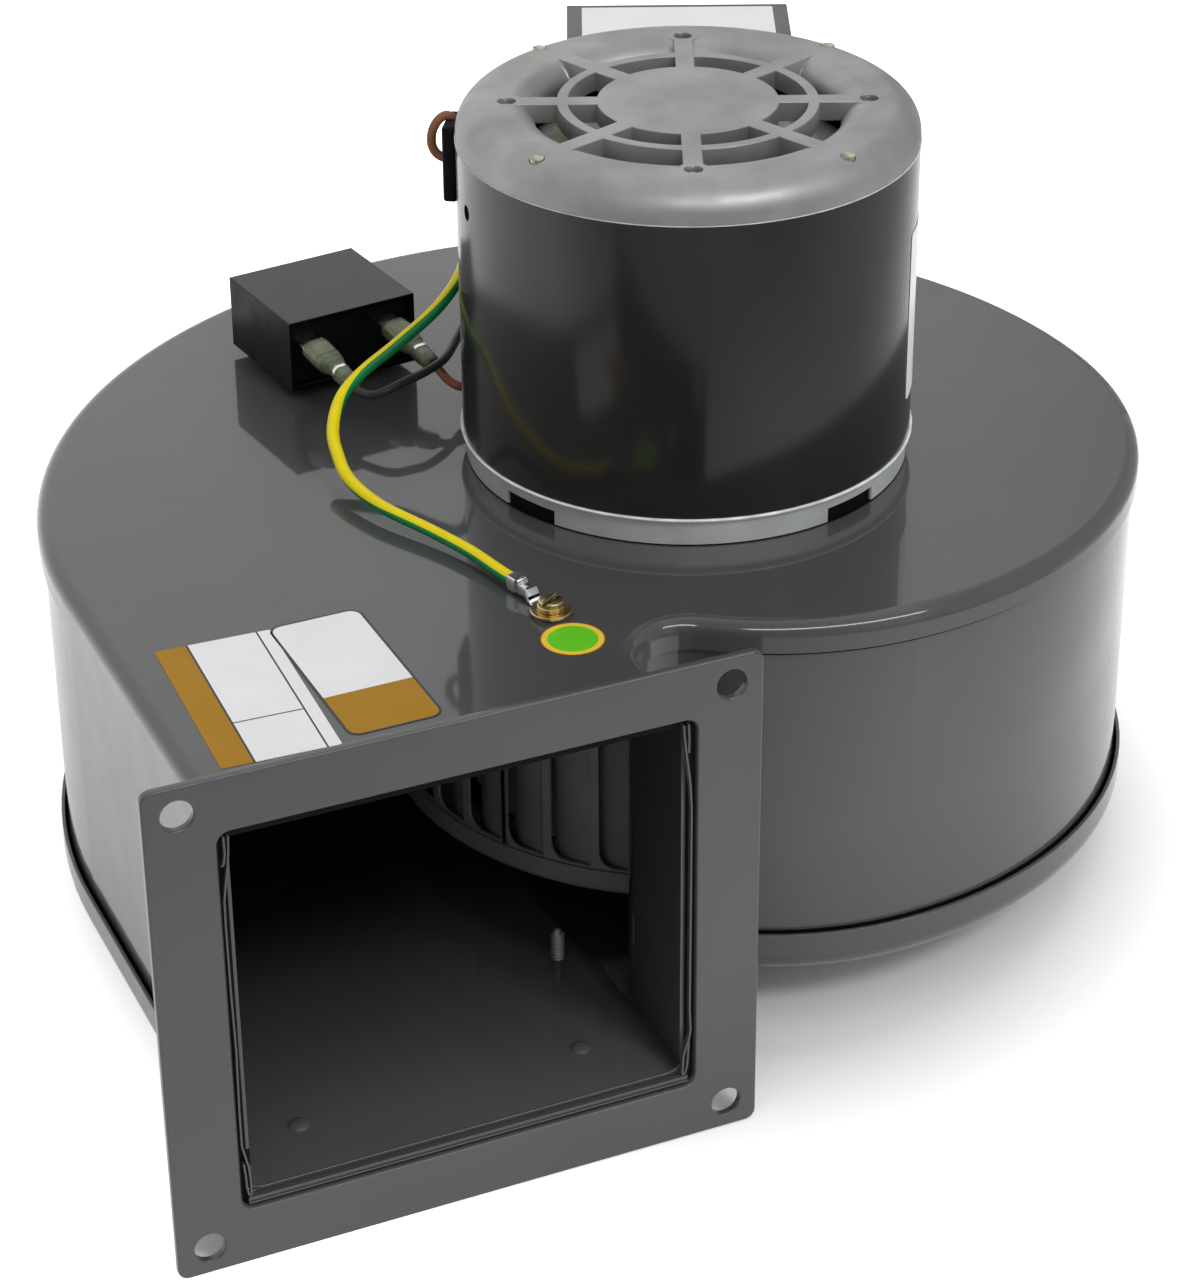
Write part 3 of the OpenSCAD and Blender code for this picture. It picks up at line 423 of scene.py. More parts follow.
def route_frames(path, side, twist):
    """A turned frame at each point, with Z along the lead."""
    frames = []
    for k, point in enumerate(path):
        along = (path[min(k + 1, len(path) - 1)] - path[max(k - 1, 0)]).normalized()
        left = Vector(side).cross(along).normalized()
        over = along.cross(left)
        basis = Matrix((left, over, along)).transposed().to_4x4()
        frames.append(shift(*point) @ basis @ turn(twist(k / (len(path) - 1))))
    return frames


def lead_tube(path, radius, sides, side=(0, 0, 1), twist=lambda f: 0.0, stripe=0.0):
    """A closed tube along a path; faces within the stripe's angle take the second finish."""
    frames = route_frames(path, side, twist)
    bm = bmesh.new()
    bmesh.ops.create_circle(bm, segments=sides, radius=radius)
    place(bm, frames[0])
    rim = bm.edges[:]
    for last, here in zip(frames, frames[1:]):
        grown = bmesh.ops.extrude_edge_only(bm, edges=rim)["geom"]
        ring = pick(grown, VERT)
        place(bm, here, last.inverted(), verts=ring)
        rim = [e for e in pick(grown, EDGE) if all(v in ring for v in e.verts)]
        middle = last.lerp(here, 0.5).inverted()
        for face in pick(grown, FACE):
            spot = middle @ face.calc_center_median()
            face.material_index = int(abs(math.degrees(math.atan2(spot.y, spot.x))) < stripe)
    bmesh.ops.holes_fill(bm, edges=[e for e in bm.edges if e.is_boundary], sides=sides)
    face_outwards(bm)
    return bm


def run_lead(name, route, diameter, finishes, slot, node, base=shift(0, 0, DECK), **shape):
    path = [base @ p for p in smooth_route(route)]
    bm = lead_tube(path, diameter / 2, **shape)
    lead = piece(name, bm, finishes, stands_for=(node,), crease=60)
    length = sum((b - a).length for a, b in zip(path, path[1:])) * MM
    print(name, "length", round(length, 4))


# %% The four leads
THIN, THICK, BUSHING_WAY = 2.6, 3.6, 147
ground_route = [
    (-0.8, 87.7, 38), (-8.1, 90.9, 38), (-19, 89, 38.5), (-30, 79, 39.5), (-40, 64, 40.5), (-47.5, 51, 40.5),
    (-54, 44, 38.5), (-61, 41.5, 34), (-72, 41, 27), (-83.5, 39, 21.3), (-91.5, 34.5, 17), (-97, 26.5, 12),
    (-99, 17.5, 8.5), (-99.6, 7, 6), (-96.5, -8, 4.5), (-88.6, -26, 3.6), (-83.4, -40, 3.2),
    (-80.246, -52.739, 2.9), (-78.74, -59.063, 2.9)]
grey_route = [
    (-81.8, 49.6, 12.5), (-81, 46.4, 11.7), (-79.2, 43.3, 11.8), (-76.2, 41.6, 12.8), (-72.6, 41.6, 13.8),
    (-68.5, 42.6, 14.4), (-61.9, 44.6, 15), (-53.2, 50.8, 15), (-44.4, 61.7, 16), (-32, 75.5, 20),
    (-19, 84.5, 28), (-9.5, 87.7, 34), (-2.2, 84.5, 34)]
brown_route = [
    (-56, 52.9, 12.5), (-55.2, 49.7, 11.7), (-54.2, 46, 10.2), (-51.8, 43.6, 8.8), (-48.8, 45.2, 8.2),
    (-47, 50, 8.2), (-44.5, 56.5, 8.8), (-39, 66.5, 10.5), (-30, 75.5, 14), (-18, 83.5, 21),
    (-8.1, 90.9, 30), (-0.8, 87.7, 30)]
loop_route = [
    (65.1, -1, 86), (65.1, -1, 89), (65.1, -1, 92), (65.5, -1, 94), (67, -0.8, 95.2), (69.2, -0.3, 94),
    (70.9, 0.3, 91), (71.2, 0.8, 87.6), (70.3, 1, 85.2), (68.7, 1, 83.8), (66.8, 1, 83.2), (65.3, 1, 81.8),
    (65.1, 1, 79.3), (65.1, 1, 75.5)]


def stripe_turn(f):
    """The stripe starts on the left and ends low on the right."""
    return -150 * max(0.0, min(1.0, (f - 0.5) / 0.3))


run_lead("ground_lead_striped", ground_route, THICK, [lead_yellow, lead_green], "ground_insulation",
         "ground_lead", sides=24, twist=stripe_turn, stripe=62)
run_lead("grey_lead_round", grey_route, THIN, [lead_grey], "grey_insulation", "grey_lead", sides=16)
run_lead("brown_lead_round", brown_route, THIN, [lead_brown], "brown_insulation", "brown_lead", sides=16)
run_lead("loop_lead_round", loop_route, THIN, [lead_brown], "brown_insulation", "loop_lead",
         base=turn(BUSHING_WAY) @ shift(0, 0, DECK), sides=16, side=(0, 1, 0))

# %% [markdown]
# ## Finishes on the CAD nodes
#
# Most nodes keep their CAD shape, and only their material slot is filled. The record names a slot for each
# node, so one table from slot to finish dresses them all.

# %% Dress the nodes
finish_of = {
    "housing_paint": housing_paint, "shell_paint": shell_paint, "box_paint": box_paint,
    "cast_aluminium": cast_aluminium, "wheel_steel": wheel_coat, "core_steel": core_steel,
    "bright_steel": bright_steel, "yellow_zinc": yellow_zinc, "bearing_bronze": bearing_bronze,
    "varnished_copper": winding_varnish, "black_rubber": soft_rubber, "black_plastic": capacitor_plastic,
    "potting": capacitor_resin, "olive_nylon": sleeve_nylon, "ground_insulation": lead_yellow,
    "grey_insulation": lead_grey, "brown_insulation": lead_brown}
slot_of = {entry["node"]: entry["material_slot"] for entry in frame["record"]["subparts"]}
for name, node in nodes.items():
    for slot in node.material_slots:
        slot.material = finish_of[slot_of[name]]
print("dressed", len(nodes), "nodes")

# %% [markdown]
# ## Softened copies
#
# A CAD edge is perfectly sharp and never catches the light, while a painted plate, a casting or a moulding
# always has a small round there. Some nodes are therefore shown as copies: the loose triangles are merged,
# flat faces are made whole again, and every sharp outer edge gets a bevel. The shape stays the CAD model's.
# The edge of the flange's opening is a flat chamfer, which shows as one thin bright line.

# %% Helpers for softened copies
def cad_copy(*names):
    """CAD nodes as one bmesh in millimetres, with their flat faces made whole."""
    bm = bmesh.new()
    for name in names:
        bm.from_mesh(nodes[name].data)
    bmesh.ops.scale(bm, vec=(1 / MM, 1 / MM, 1 / MM), verts=bm.verts)
    bmesh.ops.remove_doubles(bm, verts=bm.verts, dist=0.002)
    bmesh.ops.dissolve_limit(bm, angle_limit=math.radians(0.3), verts=bm.verts, edges=bm.edges)
    return bm


def round_edges(bm, width, segments=3, sharper=35, only=lambda edge: True):
    """Bevels every outer edge that is sharper than an angle."""
    sharp = [e for e in bm.edges if len(e.link_faces) == 2 and e.calc_face_angle() > math.radians(sharper)
             and e.is_convex and only(e)]
    bevel(bm, sharp, width, segments)
    return bm


# %% Outlet flange
MOUTH_X, FLANGE_FRONT, LEDGE = -125.25, -138.3, -136.6
MOUTH_HALF, MOUTH_FOOT, MOUTH_TOP = 64, -8, 107


def in_mouth(spot):
    """Whether a place lies within the flange's opening."""
    return abs(spot.x - MOUTH_X) < MOUTH_HALF and MOUTH_FOOT < spot.z < MOUTH_TOP


bm = round_edges(cad_copy("outlet_flange"), 0.6, only=lambda e: not any(in_mouth(v.co) for v in e.verts))
round_edges(bm, 0.5, segments=1, only=lambda e: all(
    in_mouth(v.co) and abs(v.co.y - FLANGE_FRONT) < 0.01 for v in e.verts))
# The ledge and the rear rim inside the opening take painted shade.
for face in bm.faces:
    spot = face.calc_center_median()
    face.material_index = int(in_mouth(spot) and spot.y > LEDGE - 0.02 and face.normal.y < 0.5)
piece("outlet_flange_softened", bm, [housing_paint, painted_shade], stands_for=("outlet_flange",),
      flat=True)

# %% Floor panel, with painted shade on the inner side of its lip
UPRIGHT, LIP_FOOT, LIP_REACH = 0.3, -2.6, 100
bm = round_edges(cad_copy("floor_panel"), 0.35, sharper=60)
for face in bm.faces:
    spot = face.calc_center_median()
    inner = face.normal.xy.dot(spot.xy) < 0 and abs(face.normal.z) < UPRIGHT
    face.material_index = int(inner and spot.z > LIP_FOOT and spot.xy.length > LIP_REACH)
piece("floor_panel_softened", bm, [housing_paint, painted_shade], stands_for=("floor_panel",), flat=True)

# %% [markdown]
# ## Painted shade in the gaps on the wrap
#
# Where the lips of deck and floor stand off the wrap, the gap between them lies in shade. Two thin bands on the
# wrap's outer face paint that shade as a dark line. Each is a slice of the wrap between two planes: its outer faces
# are kept, pushed out a little and given a thickness.

# %% Bands of painted shade beside the lips
BAND_GAP, BAND_THICK = 0.12, 0.1


def looks_out(face):
    """Whether a face is on the wrap's outer side; the duct's right wall is left out."""
    spot = face.calc_center_median()
    right_wall = -150 < spot.x < -30 and spot.y < -60
    return face.normal.xy.dot(spot.xy) > 0 and abs(face.normal.z) <= UPRIGHT and not right_wall


shade_bands = bmesh.new()
for low, high in ((5.0, 10.1), (97.35, 98.4)):
    bm = cad_copy("scroll_wrap")
    for at, way in ((low, 1), (high, -1)):
        bmesh.ops.bisect_plane(bm, geom=everything(bm), plane_co=(0, 0, at), plane_no=(0, 0, way), clear_inner=True)
    bm.normal_update()
    bmesh.ops.delete(bm, geom=[f for f in bm.faces if not looks_out(f)], context="FACES")
    bm.normal_update()
    for vert in bm.verts:
        vert.co += vert.normal * BAND_GAP
    bmesh.ops.solidify(bm, geom=bm.faces[:], thickness=BAND_THICK)
    join(shade_bands, bm)
face_outwards(shade_bands)
piece("wrap_joint_shade", shade_bands, [painted_shade])

# %% [markdown]
# ## Junction box, capacitor and rubber
#
# The same bevel softens the box, the capacitor's case and the two rubber mouldings. The case is glossier on
# top than on its sides. The bushing is filled out a little at its front and top.

# %% Box, case, bushing and grommet
for name, node in (("junction_box_softened", "junction_box"), ("junction_cover_softened", "junction_box_cover")):
    piece(name, round_edges(cad_copy(node), 0.35), [box_paint], stands_for=(node,), flat=True)
bm = round_edges(cad_copy("capacitor_case"), 0.35)
for face in bm.faces:
    face.material_index = int(face.normal.z < 0.6)
piece("capacitor_case_softened", bm, [capacitor_plastic, capacitor_sides],
      stands_for=("capacitor_case",), flat=True)
bm = round_edges(cad_copy("lead_bushing"), 0.9)
front = turn(BUSHING_WAY) @ Vector((1, 0, 0))
bmesh.ops.translate(bm, vec=front * 0.6, verts=[v for v in bm.verts if v.co.dot(front) > 65.2])
bmesh.ops.translate(bm, vec=(0, 0, 1.5), verts=[v for v in bm.verts if v.co.z > DECK + 88])
piece("lead_bushing_softened", bm, [soft_rubber], stands_for=("lead_bushing",))
piece("lead_grommet_softened", round_edges(cad_copy("lead_grommet"), 0.8), [soft_rubber],
      stands_for=("lead_grommet",))

# %% [markdown]
# ## The end bells
#
# The bells are castings, so each edge is a little rounder than a machined one. A thin bead shows where the shell is
# seated on either bell, painted near white as a highlight along it. Painted shade draws a dark line where the lower
# bell stands on the deck and darkens its slots. Each of these is one small profile spun round the motor's axis.

# %% Softened castings
def spun(bm, points, steps, axis_at):
    """Spins a closed profile of (radius, height) points about a vertical axis."""
    verts = [bm.verts.new((r + axis_at[0], axis_at[1], z + axis_at[2])) for r, z in points]
    edges = [bm.edges.new(pair) for pair in zip(verts, verts[1:] + verts[:1])]
    bmesh.ops.spin(bm, geom=verts + edges, cent=axis_at, axis=(0, 0, 1), angle=2 * math.pi, steps=steps,
                   use_merge=True)
    bmesh.ops.remove_doubles(bm, verts=bm.verts, dist=0.0005)
    face_outwards(bm)
    return bm


ROUND = 128
piece("upper_end_bell_softened", round_edges(cad_copy("upper_end_bell"), 0.3, sharper=60), [cast_aluminium],
      stands_for=("upper_end_bell",), flat=True)
piece("lower_end_bell_softened", round_edges(cad_copy("lower_end_bell"), 0.35), [cast_skirt],
      stands_for=("lower_end_bell",), flat=True)
on_deck = {"axis_at": (0, 0, DECK), "steps": ROUND}
bead = spun(bmesh.new(), [(62.4, 7.5), (63.5, 7.6), (64.1, 7.9), (64.2, 8.25), (63.8, 8.57), (62.4, 8.58)], **on_deck)
spun(bead, [(63.2, 93.55), (63.66, 93.6), (63.7, 93.75), (63.2, 93.8)], **on_deck)
piece("bell_seat_bead", bead, [bead_and_highlight])
# Painted shade: a dark ring inside the lower bell's slots, and a thin dark line where the skirt stands on the deck.
shade = spun(bmesh.new(), [(61, 0.03), (61.9, 0.03), (61.9, 4.4), (61, 4.4)], **on_deck)
spun(shade, [(62.2, 0.03), (62.78, 0.03), (62.78, 0.4), (62.2, 0.4)], **on_deck)
piece("bell_foot_shade", shade, [painted_shade])

# %% [markdown]
# ## Bolts and studs
#
# Four long bolts hold the motor together: their ends stand in the upper rim, their heads in the lower
# notches. A bolt is an extruded circle whose end is inset and pushed down, as a formed bolt's end is. The
# studs at the spokes are short rods with a rounded end, deep in their recesses.

# %% Bolts and studs
MOTOR_CLOCK, BOLT_CIRCLE, STUD_CIRCLE = -23.7, 57.5, 49.2


def rod(bm, radius, low, high, at, rounding, sides=20, dimple=0.0):
    """A vertical rod with rounded ends and, if asked, a dimple in its top."""
    disc = bmesh.ops.create_circle(bm, cap_ends=True, segments=sides, radius=radius)["verts"]
    bmesh.ops.translate(bm, vec=(*at, low), verts=disc)
    base = disc[0].link_faces[0]
    grown = bmesh.ops.extrude_face_region(bm, geom=[base])["geom"]
    ring = pick(grown, VERT)
    bmesh.ops.translate(bm, vec=(0, 0, high - low), verts=ring)
    top = pick(grown, FACE)[0]
    if dimple:
        bmesh.ops.inset_region(bm, faces=[top], thickness=radius * 0.45)
        bmesh.ops.translate(bm, vec=(0, 0, -dimple), verts=top.verts)
    rims = [e for e in bm.edges if e.calc_face_angle(0) > 1.2 and e.verts[0].co.z == e.verts[1].co.z
            and (e.verts[0].co.xy - Vector(at)).length < radius * 1.01]
    bevel(bm, rims, rounding, 2)


def on_circle(radius, degrees):
    """A place round the motor's axis, counted from the motor's own clock."""
    way = math.radians(MOTOR_CLOCK + degrees)
    return radius * math.cos(way), radius * math.sin(way)


bm = bmesh.new()
bm_heads = bmesh.new()
bm_studs = bmesh.new()
for quarter in range(4):
    at = on_circle(BOLT_CIRCLE, 45 + 90 * quarter)
    rod(bm, 1.9, DECK + 4.3, DECK + 103.9, at, 0.3, dimple=0.45)
    rod(bm_heads, 3.2, DECK + 1.7, DECK + 4.3, at, 0.3, sides=6)
    rod(bm_studs, 1.6, DECK + 96.2, DECK + 102.7, on_circle(STUD_CIRCLE, 90 * quarter), 0.5)
face_outwards(bm)
piece("through_bolt_shanks", bm, [pale_zinc], stands_for=("through_bolts",))
# The heads sit in the lower bell's dark notches and take painted shade.
piece("through_bolt_heads", bm_heads, [painted_shade])
piece("grille_stud_rods", bm_studs, [bright_steel], stands_for=("grille_studs",))

# %% [markdown]
# ## Push-on terminals of the capacitor
#
# Each tab carries a flat receptacle in a clear olive sleeve. The sleeve is flat and wide over the tab, has a
# slanting waist and then a round neck on the lead. It starts from one rounded rectangle, whose face is
# extruded and scaled from station to station, which keeps the corners' rounding all the way.

# %% Sleeves
def rounded_rectangle(bm, width, height, corner, segments=4):
    """One flat face with round corners, on the XY plane."""
    verts = bmesh.ops.create_grid(bm, x_segments=1, y_segments=1, size=0.5)["verts"]
    bmesh.ops.scale(bm, vec=(width, height, 1), verts=verts)
    bevel(bm, verts, corner, segments, "VERTICES")
    return next(iter(bm.faces))


def lofted(stations, corner):
    """A closed body through stations of (reach, width, height, sideways)."""
    bm = bmesh.new()
    reach, width, height, side = stations[0]
    face = rounded_rectangle(bm, width, height, corner)
    bmesh.ops.translate(bm, vec=(side, 0, reach), verts=face.verts)
    for (z0, w0, h0, x0), (z1, w1, h1, x1) in zip(stations, stations[1:]):
        grown = bmesh.ops.extrude_face_region(bm, geom=[face])["geom"]
        ring = pick(grown, VERT)
        face = pick(grown, FACE)[0]
        place(bm, shift(x1, 0, z1), Matrix.Diagonal((w1 / w0, h1 / h0, 1, 1)), shift(-x0, 0, -z0), verts=ring)
    face_outwards(bm)
    return bm


sleeve_stations = [
    (6.5, 7.0, 4.4, 0), (6.8, 8.0, 5.2, 0), (7.6, 8.4, 5.6, 0), (13.5, 8.4, 5.6, 0), (15.5, 8.1, 5.5, 0),
    (17.2, 7.0, 5.0, 0.2), (18.6, 5.6, 4.5, 0.3), (19.8, 5.2, 4.6, 0.2), (21.0, 5.4, 5.0, 0), (24.5, 5.0, 4.8, 0),
    (26.6, 4.6, 4.6, 0), (27.4, 4.0, 4.0, 0)]
receptacle_stations = [(7.4, 7.2, 3.0, 0), (7.8, 7.3, 3.2, 0), (14.6, 7.3, 3.2, 0), (16.6, 4.6, 2.8, 0.1),
                       (18.4, 3.2, 3.0, 0.3), (23.5, 3.2, 3.2, 0)]
CAPACITOR, CAPACITOR_TURN, CASE_DEPTH, TAB_RISE = (-75, 94, DECK), 7.2, 39.3, 19.2
SLEEVE_TURN, SLEEVE_DROP = 7, 14
sleeves = bmesh.new()
receptacles = bmesh.new()
for tab_x in (-15.6, 10.4):
    on_tab = (shift(*CAPACITOR) @ turn(CAPACITOR_TURN) @ shift(tab_x, 3 - CASE_DEPTH / 2, TAB_RISE)
              @ turn(SLEEVE_TURN) @ turn(SLEEVE_DROP, "X") @ turn(90, "X"))
    for whole, stations, corner in ((sleeves, sleeve_stations, 1.9), (receptacles, receptacle_stations, 0.9)):
        body = lofted(stations, corner)
        place(body, on_tab)
        join(whole, body)
piece("sleeves_clear", sleeves, [sleeve_nylon], stands_for=("push_on_sleeves",), crease=50)
piece("receptacles_tin", receptacles, [pale_zinc], crease=40)

# %% [markdown]
# ## The ground connection
#
# A slotted screw presses a washer and a ring terminal on the deck. The slot comes from the way the head is
# made: a disc is cut by a plane on one side of the slot, what is left is extruded, and the same is done on
# the other side. The terminal's barrel is crimped twice, over the wire and, a little wider, over the
# insulation.

# %% Ground screw, washer and ring terminal
GROUND = (-74.8, -75.6)


def slotted_disc(bm, radius, low, high, slot, rounding, way):
    """Two half discs with a slot between them."""
    for side in (1, -1):
        half = bmesh.new()
        bmesh.ops.create_circle(half, cap_ends=True, segments=48, radius=radius)
        bmesh.ops.bisect_plane(half, geom=everything(half), plane_co=(0, side * slot / 2, 0), plane_no=(0, side, 0),
                               clear_inner=True)
        thicken(half, high - low)
        upper = [e for e in half.edges if all(v.co.z > 0 for v in e.verts) and e.calc_face_angle(0) > 0.9]
        bevel(half, upper, rounding, 3)
        place(half, shift(*GROUND, low), turn(way))
        join(bm, half)


at_ground = (*GROUND, DECK)
bm = spun(bmesh.new(), [(0, -9), (1.2, -9), (2, -8), (2, 1.7), (3.5, 1.7), (3.7, 1.9), (3.7, 2.9), (3.4, 3.1),
                        (0, 3.1)], 40, at_ground)
slotted_disc(bm, 3.4, DECK + 3.1, DECK + 4.5, 1.1, 0.5, 35)
piece("ground_screw_slotted", bm, [yellow_zinc], stands_for=("ground_screw",))
bm = spun(bmesh.new(), [(2.2, 0.85), (5.3, 0.82), (5.6, 1.0), (5.6, 1.45), (5.35, 1.68), (2.2, 1.7)], 48, at_ground)
piece("ground_washer_rounded", bm, [yellow_zinc], stands_for=("ground_washer",))

terminal = spun(bmesh.new(), [(2.2, 0.02), (4.5, 0.02), (4.6, 0.15), (4.6, 0.65), (4.45, 0.8), (2.2, 0.8)], 48,
                at_ground)
barrel_stations = [(4.0, 4.2, 0.8, 0.0), (6.6, 4.0, 0.9, 0.15), (7.6, 4.2, 2.0, 0.9), (8.6, 4.0, 3.6, 1.8),
                   (9.4, 3.5, 3.2, 2.2), (11.4, 3.4, 3.0, 2.3), (12.2, 3.9, 3.8, 2.4), (12.9, 3.4, 3.4, 2.5),
                   (13.4, 4.3, 4.3, 2.5), (16.5, 4.5, 4.5, 2.5), (17.0, 4.2, 4.2, 2.5)]
barrel = lofted([(*station[:3], 0) for station in barrel_stations], 0.35)
for vert in barrel.verts:
    reach = vert.co.z
    after = next(k for k, station in enumerate(barrel_stations) if station[0] >= reach - 1e-4)
    vert.co.y += barrel_stations[after][3]
place(barrel, shift(*GROUND, DECK + 0.4), turn(103.4), turn(90, "Y"), turn(90))
join(terminal, barrel)
piece("ring_terminal_crimped", terminal, [bright_steel], stands_for=("ring_terminal",), crease=45)

# %% [markdown]
# ## Screw and rivets on the duct's floor
#
# The tip of a sheet-metal screw shows its thread. A thread is a small triangle that is spun many turns about
# the axis while it climbs, which the spin operator's offset does. The rivets are low domes.

# %% Floor screw and rivets
FLOOR = -4.0
FLOOR_SCREW = (-74.0, -74.5)
bm = spun(bmesh.new(), [(0, -2.3), (1.6, -2.4), (3.0, -2.0), (3.8, -0.9), (3.8, 0), (1.55, 0), (1.55, 8.2),
                        (1.1, 9.8), (0.5, 10.2), (0, 10.2)], 32, (*FLOOR_SCREW, FLOOR))
turns, per_turn, pitch_mm = 9, 20, 0.95
profile = [bm.verts.new((FLOOR_SCREW[0] + r, FLOOR_SCREW[1], FLOOR + 0.2 + z))
           for r, z in ((1.45, -0.34), (2.0, 0.0), (1.45, 0.34))]
edges = [bm.edges.new(pair) for pair in zip(profile, profile[1:])]
bmesh.ops.spin(bm, geom=profile + edges, cent=(*FLOOR_SCREW, 0), axis=(0, 0, 1), angle=2 * math.pi * turns,
               steps=turns * per_turn, dvec=(0, 0, pitch_mm / per_turn))
face_outwards(bm)
piece("floor_screw_threaded", bm, [cast_aluminium], stands_for=("floor_screw",))

bm = bmesh.new()
for rivet in ((-165.25, -116), (-85.25, -116)):
    spun(bm, [(0, -1), (1.2, -0.95), (2.2, -0.7), (2.9, -0.1), (2.95, 0), (1.6, 0), (1.6, 1.2), (2.95, 1.2),
              (2.9, 1.35), (2.2, 1.9), (1.2, 2.15), (0, 2.2)], 32, (*rivet, FLOOR))
piece("floor_rivets_domed", bm, [housing_paint], stands_for=("floor_rivets",))

# %% [markdown]
# ## The wheel's strip
#
# The blades are cut from one strip and bent inwards, and what is left of the strip is a drum of tall windows
# whose corners are round on the cut side. One pitch is bridged between an outer rectangle and a rounded
# window, given its thickness, rolled up on the wheel's radius and repeated round the axis.

# %% Window strip
STRIP_R, BLADES, BAR = 86.55, 38, 2.4
STRIP_MIDDLE, STRIP_HIGH, WINDOW_HIGH = 50.75, 79.0, 68.0
pitch_len = 2 * math.pi * STRIP_R / BLADES
bm = bmesh.new()
cell = bmesh.ops.create_grid(bm, x_segments=1, y_segments=1, size=0.5)["verts"]
bmesh.ops.scale(bm, vec=(pitch_len, STRIP_HIGH, 1), verts=cell)
bmesh.ops.translate(bm, vec=(-pitch_len / 2 + BAR / 2, STRIP_MIDDLE, 0), verts=cell)
window = bmesh.ops.create_grid(bm, x_segments=1, y_segments=1, size=0.5)["verts"]
bmesh.ops.scale(bm, vec=(pitch_len - BAR, WINDOW_HIGH, 1), verts=window)
bmesh.ops.translate(bm, vec=(-(pitch_len - BAR) / 2, STRIP_MIDDLE, 0), verts=window)
bevel(bm, [v for v in window if v.co.x < -5], 4.5, 6, "VERTICES")
bmesh.ops.delete(bm, geom=bm.faces[:], context="FACES_ONLY")
flat = [e for e in bm.edges if abs(e.verts[0].co.y - e.verts[1].co.y) < 1e-4]
bmesh.ops.subdivide_edges(bm, edges=flat, cuts=3)
bmesh.ops.bridge_loops(bm, edges=bm.edges[:])
face_outwards(bm)
bmesh.ops.solidify(bm, geom=bm.faces[:], thickness=0.8)
for vert in bm.verts:
    along, height, out = vert.co
    vert.co = ((STRIP_R + out) * math.cos(along / STRIP_R), (STRIP_R + out) * math.sin(along / STRIP_R), height)
bmesh.ops.spin(bm, geom=everything(bm), cent=(0, 0, 0), axis=(0, 0, 1),
               angle=2 * math.pi * (BLADES - 1) / BLADES, steps=BLADES - 1, use_duplicate=True)
bmesh.ops.remove_doubles(bm, verts=bm.verts, dist=0.002)
face_outwards(bm)
piece("wheel_window_strip", bm, [wheel_coat], body="rotor")

# %% [markdown]
# ## Hems at the duct's mouth
#
# In the flange's opening the edges of the sheets show. The wrap's edge is squeezed inwards at both ends, where
# the lips of deck and floor pass outside it, and the floor's edge dips to the opening's foot. Each edge is a
# narrow ribbon: one short edge, extruded along its line and given the sheet's thickness.

# %% Mouth hems
wrap_right = [(59.6, 105), (59.8, 101.5), (60.2, 97.8), (60.9, 92.5), (61.5, 87.5), (61.9, 80), (61.9, 60),
              (61.8, 17.4), (62.1, 11), (61.7, 8.2), (60.8, 5.6), (60.1, 3), (59.8, -3.4)]
wrap_left = [(-60.5, 105), (-60.7, 100.5), (-61.2, 96), (-61.9, 91.5), (-62.5, 87), (-62.6, 80), (-62.5, 60),
             (-62.2, 42.9), (-62.5, 24), (-62.5, 13), (-61.8, 9.6), (-61.1, 6), (-60.8, 2), (-60.8, -3.2)]
lips = [[(60.9, 105), (61.1, 101), (61.0, 96.7)], [(-61.7, 105), (-61.6, 100), (-62, 97.5), (-62.5, 96.9)],
        [(61.6, 7.3), (61.4, 3), (61.2, 0), (60.7, -2.4), (59.8, -3.6)],
        [(-62.3, 7.3), (-62, 3.5), (-61.9, -0.1), (-61.5, -2.4), (-60.8, -3.5)]]
hems = [(edge, 0.5, 0.3) for edge in [wrap_right, wrap_left] + lips]
hems += [([(-61.3, z), (61.1, z)], thick, set_back) for z, thick, set_back in (
    (-3.6, 0.4, 0.3), (-4.3, 1.1, 0.7), (-5.1, 0.4, 0.3))]
bm = bmesh.new()
for line, thick, set_back in hems:
    start = [bm.verts.new((line[0][0], y, line[0][1])) for y in (FLANGE_FRONT + set_back, LEDGE)]
    rim = [bm.edges.new(start)]
    ribbon = []
    for (x0, z0), (x1, z1) in zip(line, line[1:]):
        grown = bmesh.ops.extrude_edge_only(bm, edges=rim)["geom"]
        ring = pick(grown, VERT)
        bmesh.ops.translate(bm, vec=(x1 - x0, 0, z1 - z0), verts=ring)
        rim = [e for e in pick(grown, EDGE) if all(v in ring for v in e.verts)]
        ribbon += pick(grown, FACE)
    bmesh.ops.recalc_face_normals(bm, faces=ribbon)
    bmesh.ops.solidify(bm, geom=ribbon, thickness=thick)
bmesh.ops.translate(bm, vec=(MOUTH_X, 0, 0), verts=bm.verts)
face_outwards(bm)
piece("mouth_hems", bm, [housing_paint], crease=50)

# %% [markdown]
# ## Stickers
#
# The real part carries stickers, which stay blank here: plain fields of white, amber and a thin dark line.
# A sticker is a rounded rectangle, cut along its lines, whose pieces take their finish by where they lie.
# It gets the thickness of film, so it can be seen to lie on the paint.

# %% Sticker films
FILM_THICK = 0.12


def film(name, color, gloss=0.5):
    """Printed film with a faint unevenness."""
    return varied(name, (60, tuple(c * 0.94 for c in color), color), (90, 0.27, 0.4), [(140, 0.05, 0.15)],
                  Specular_IOR_Level=gloss)


film_white = film("film_white", (0.84, 0.85, 0.86))
film_amber = film("film_amber", (0.4, 0.2, 0.006), gloss=0.12)
film_dark = film("film_dark", (0.012, 0.012, 0.012))
film_green = film("film_green", (0.13, 0.62, 0.015))
film_yellow = film("film_yellow", (0.9, 0.62, 0.05))
film_orange = film("film_orange", (0.3, 0.12, 0.01))


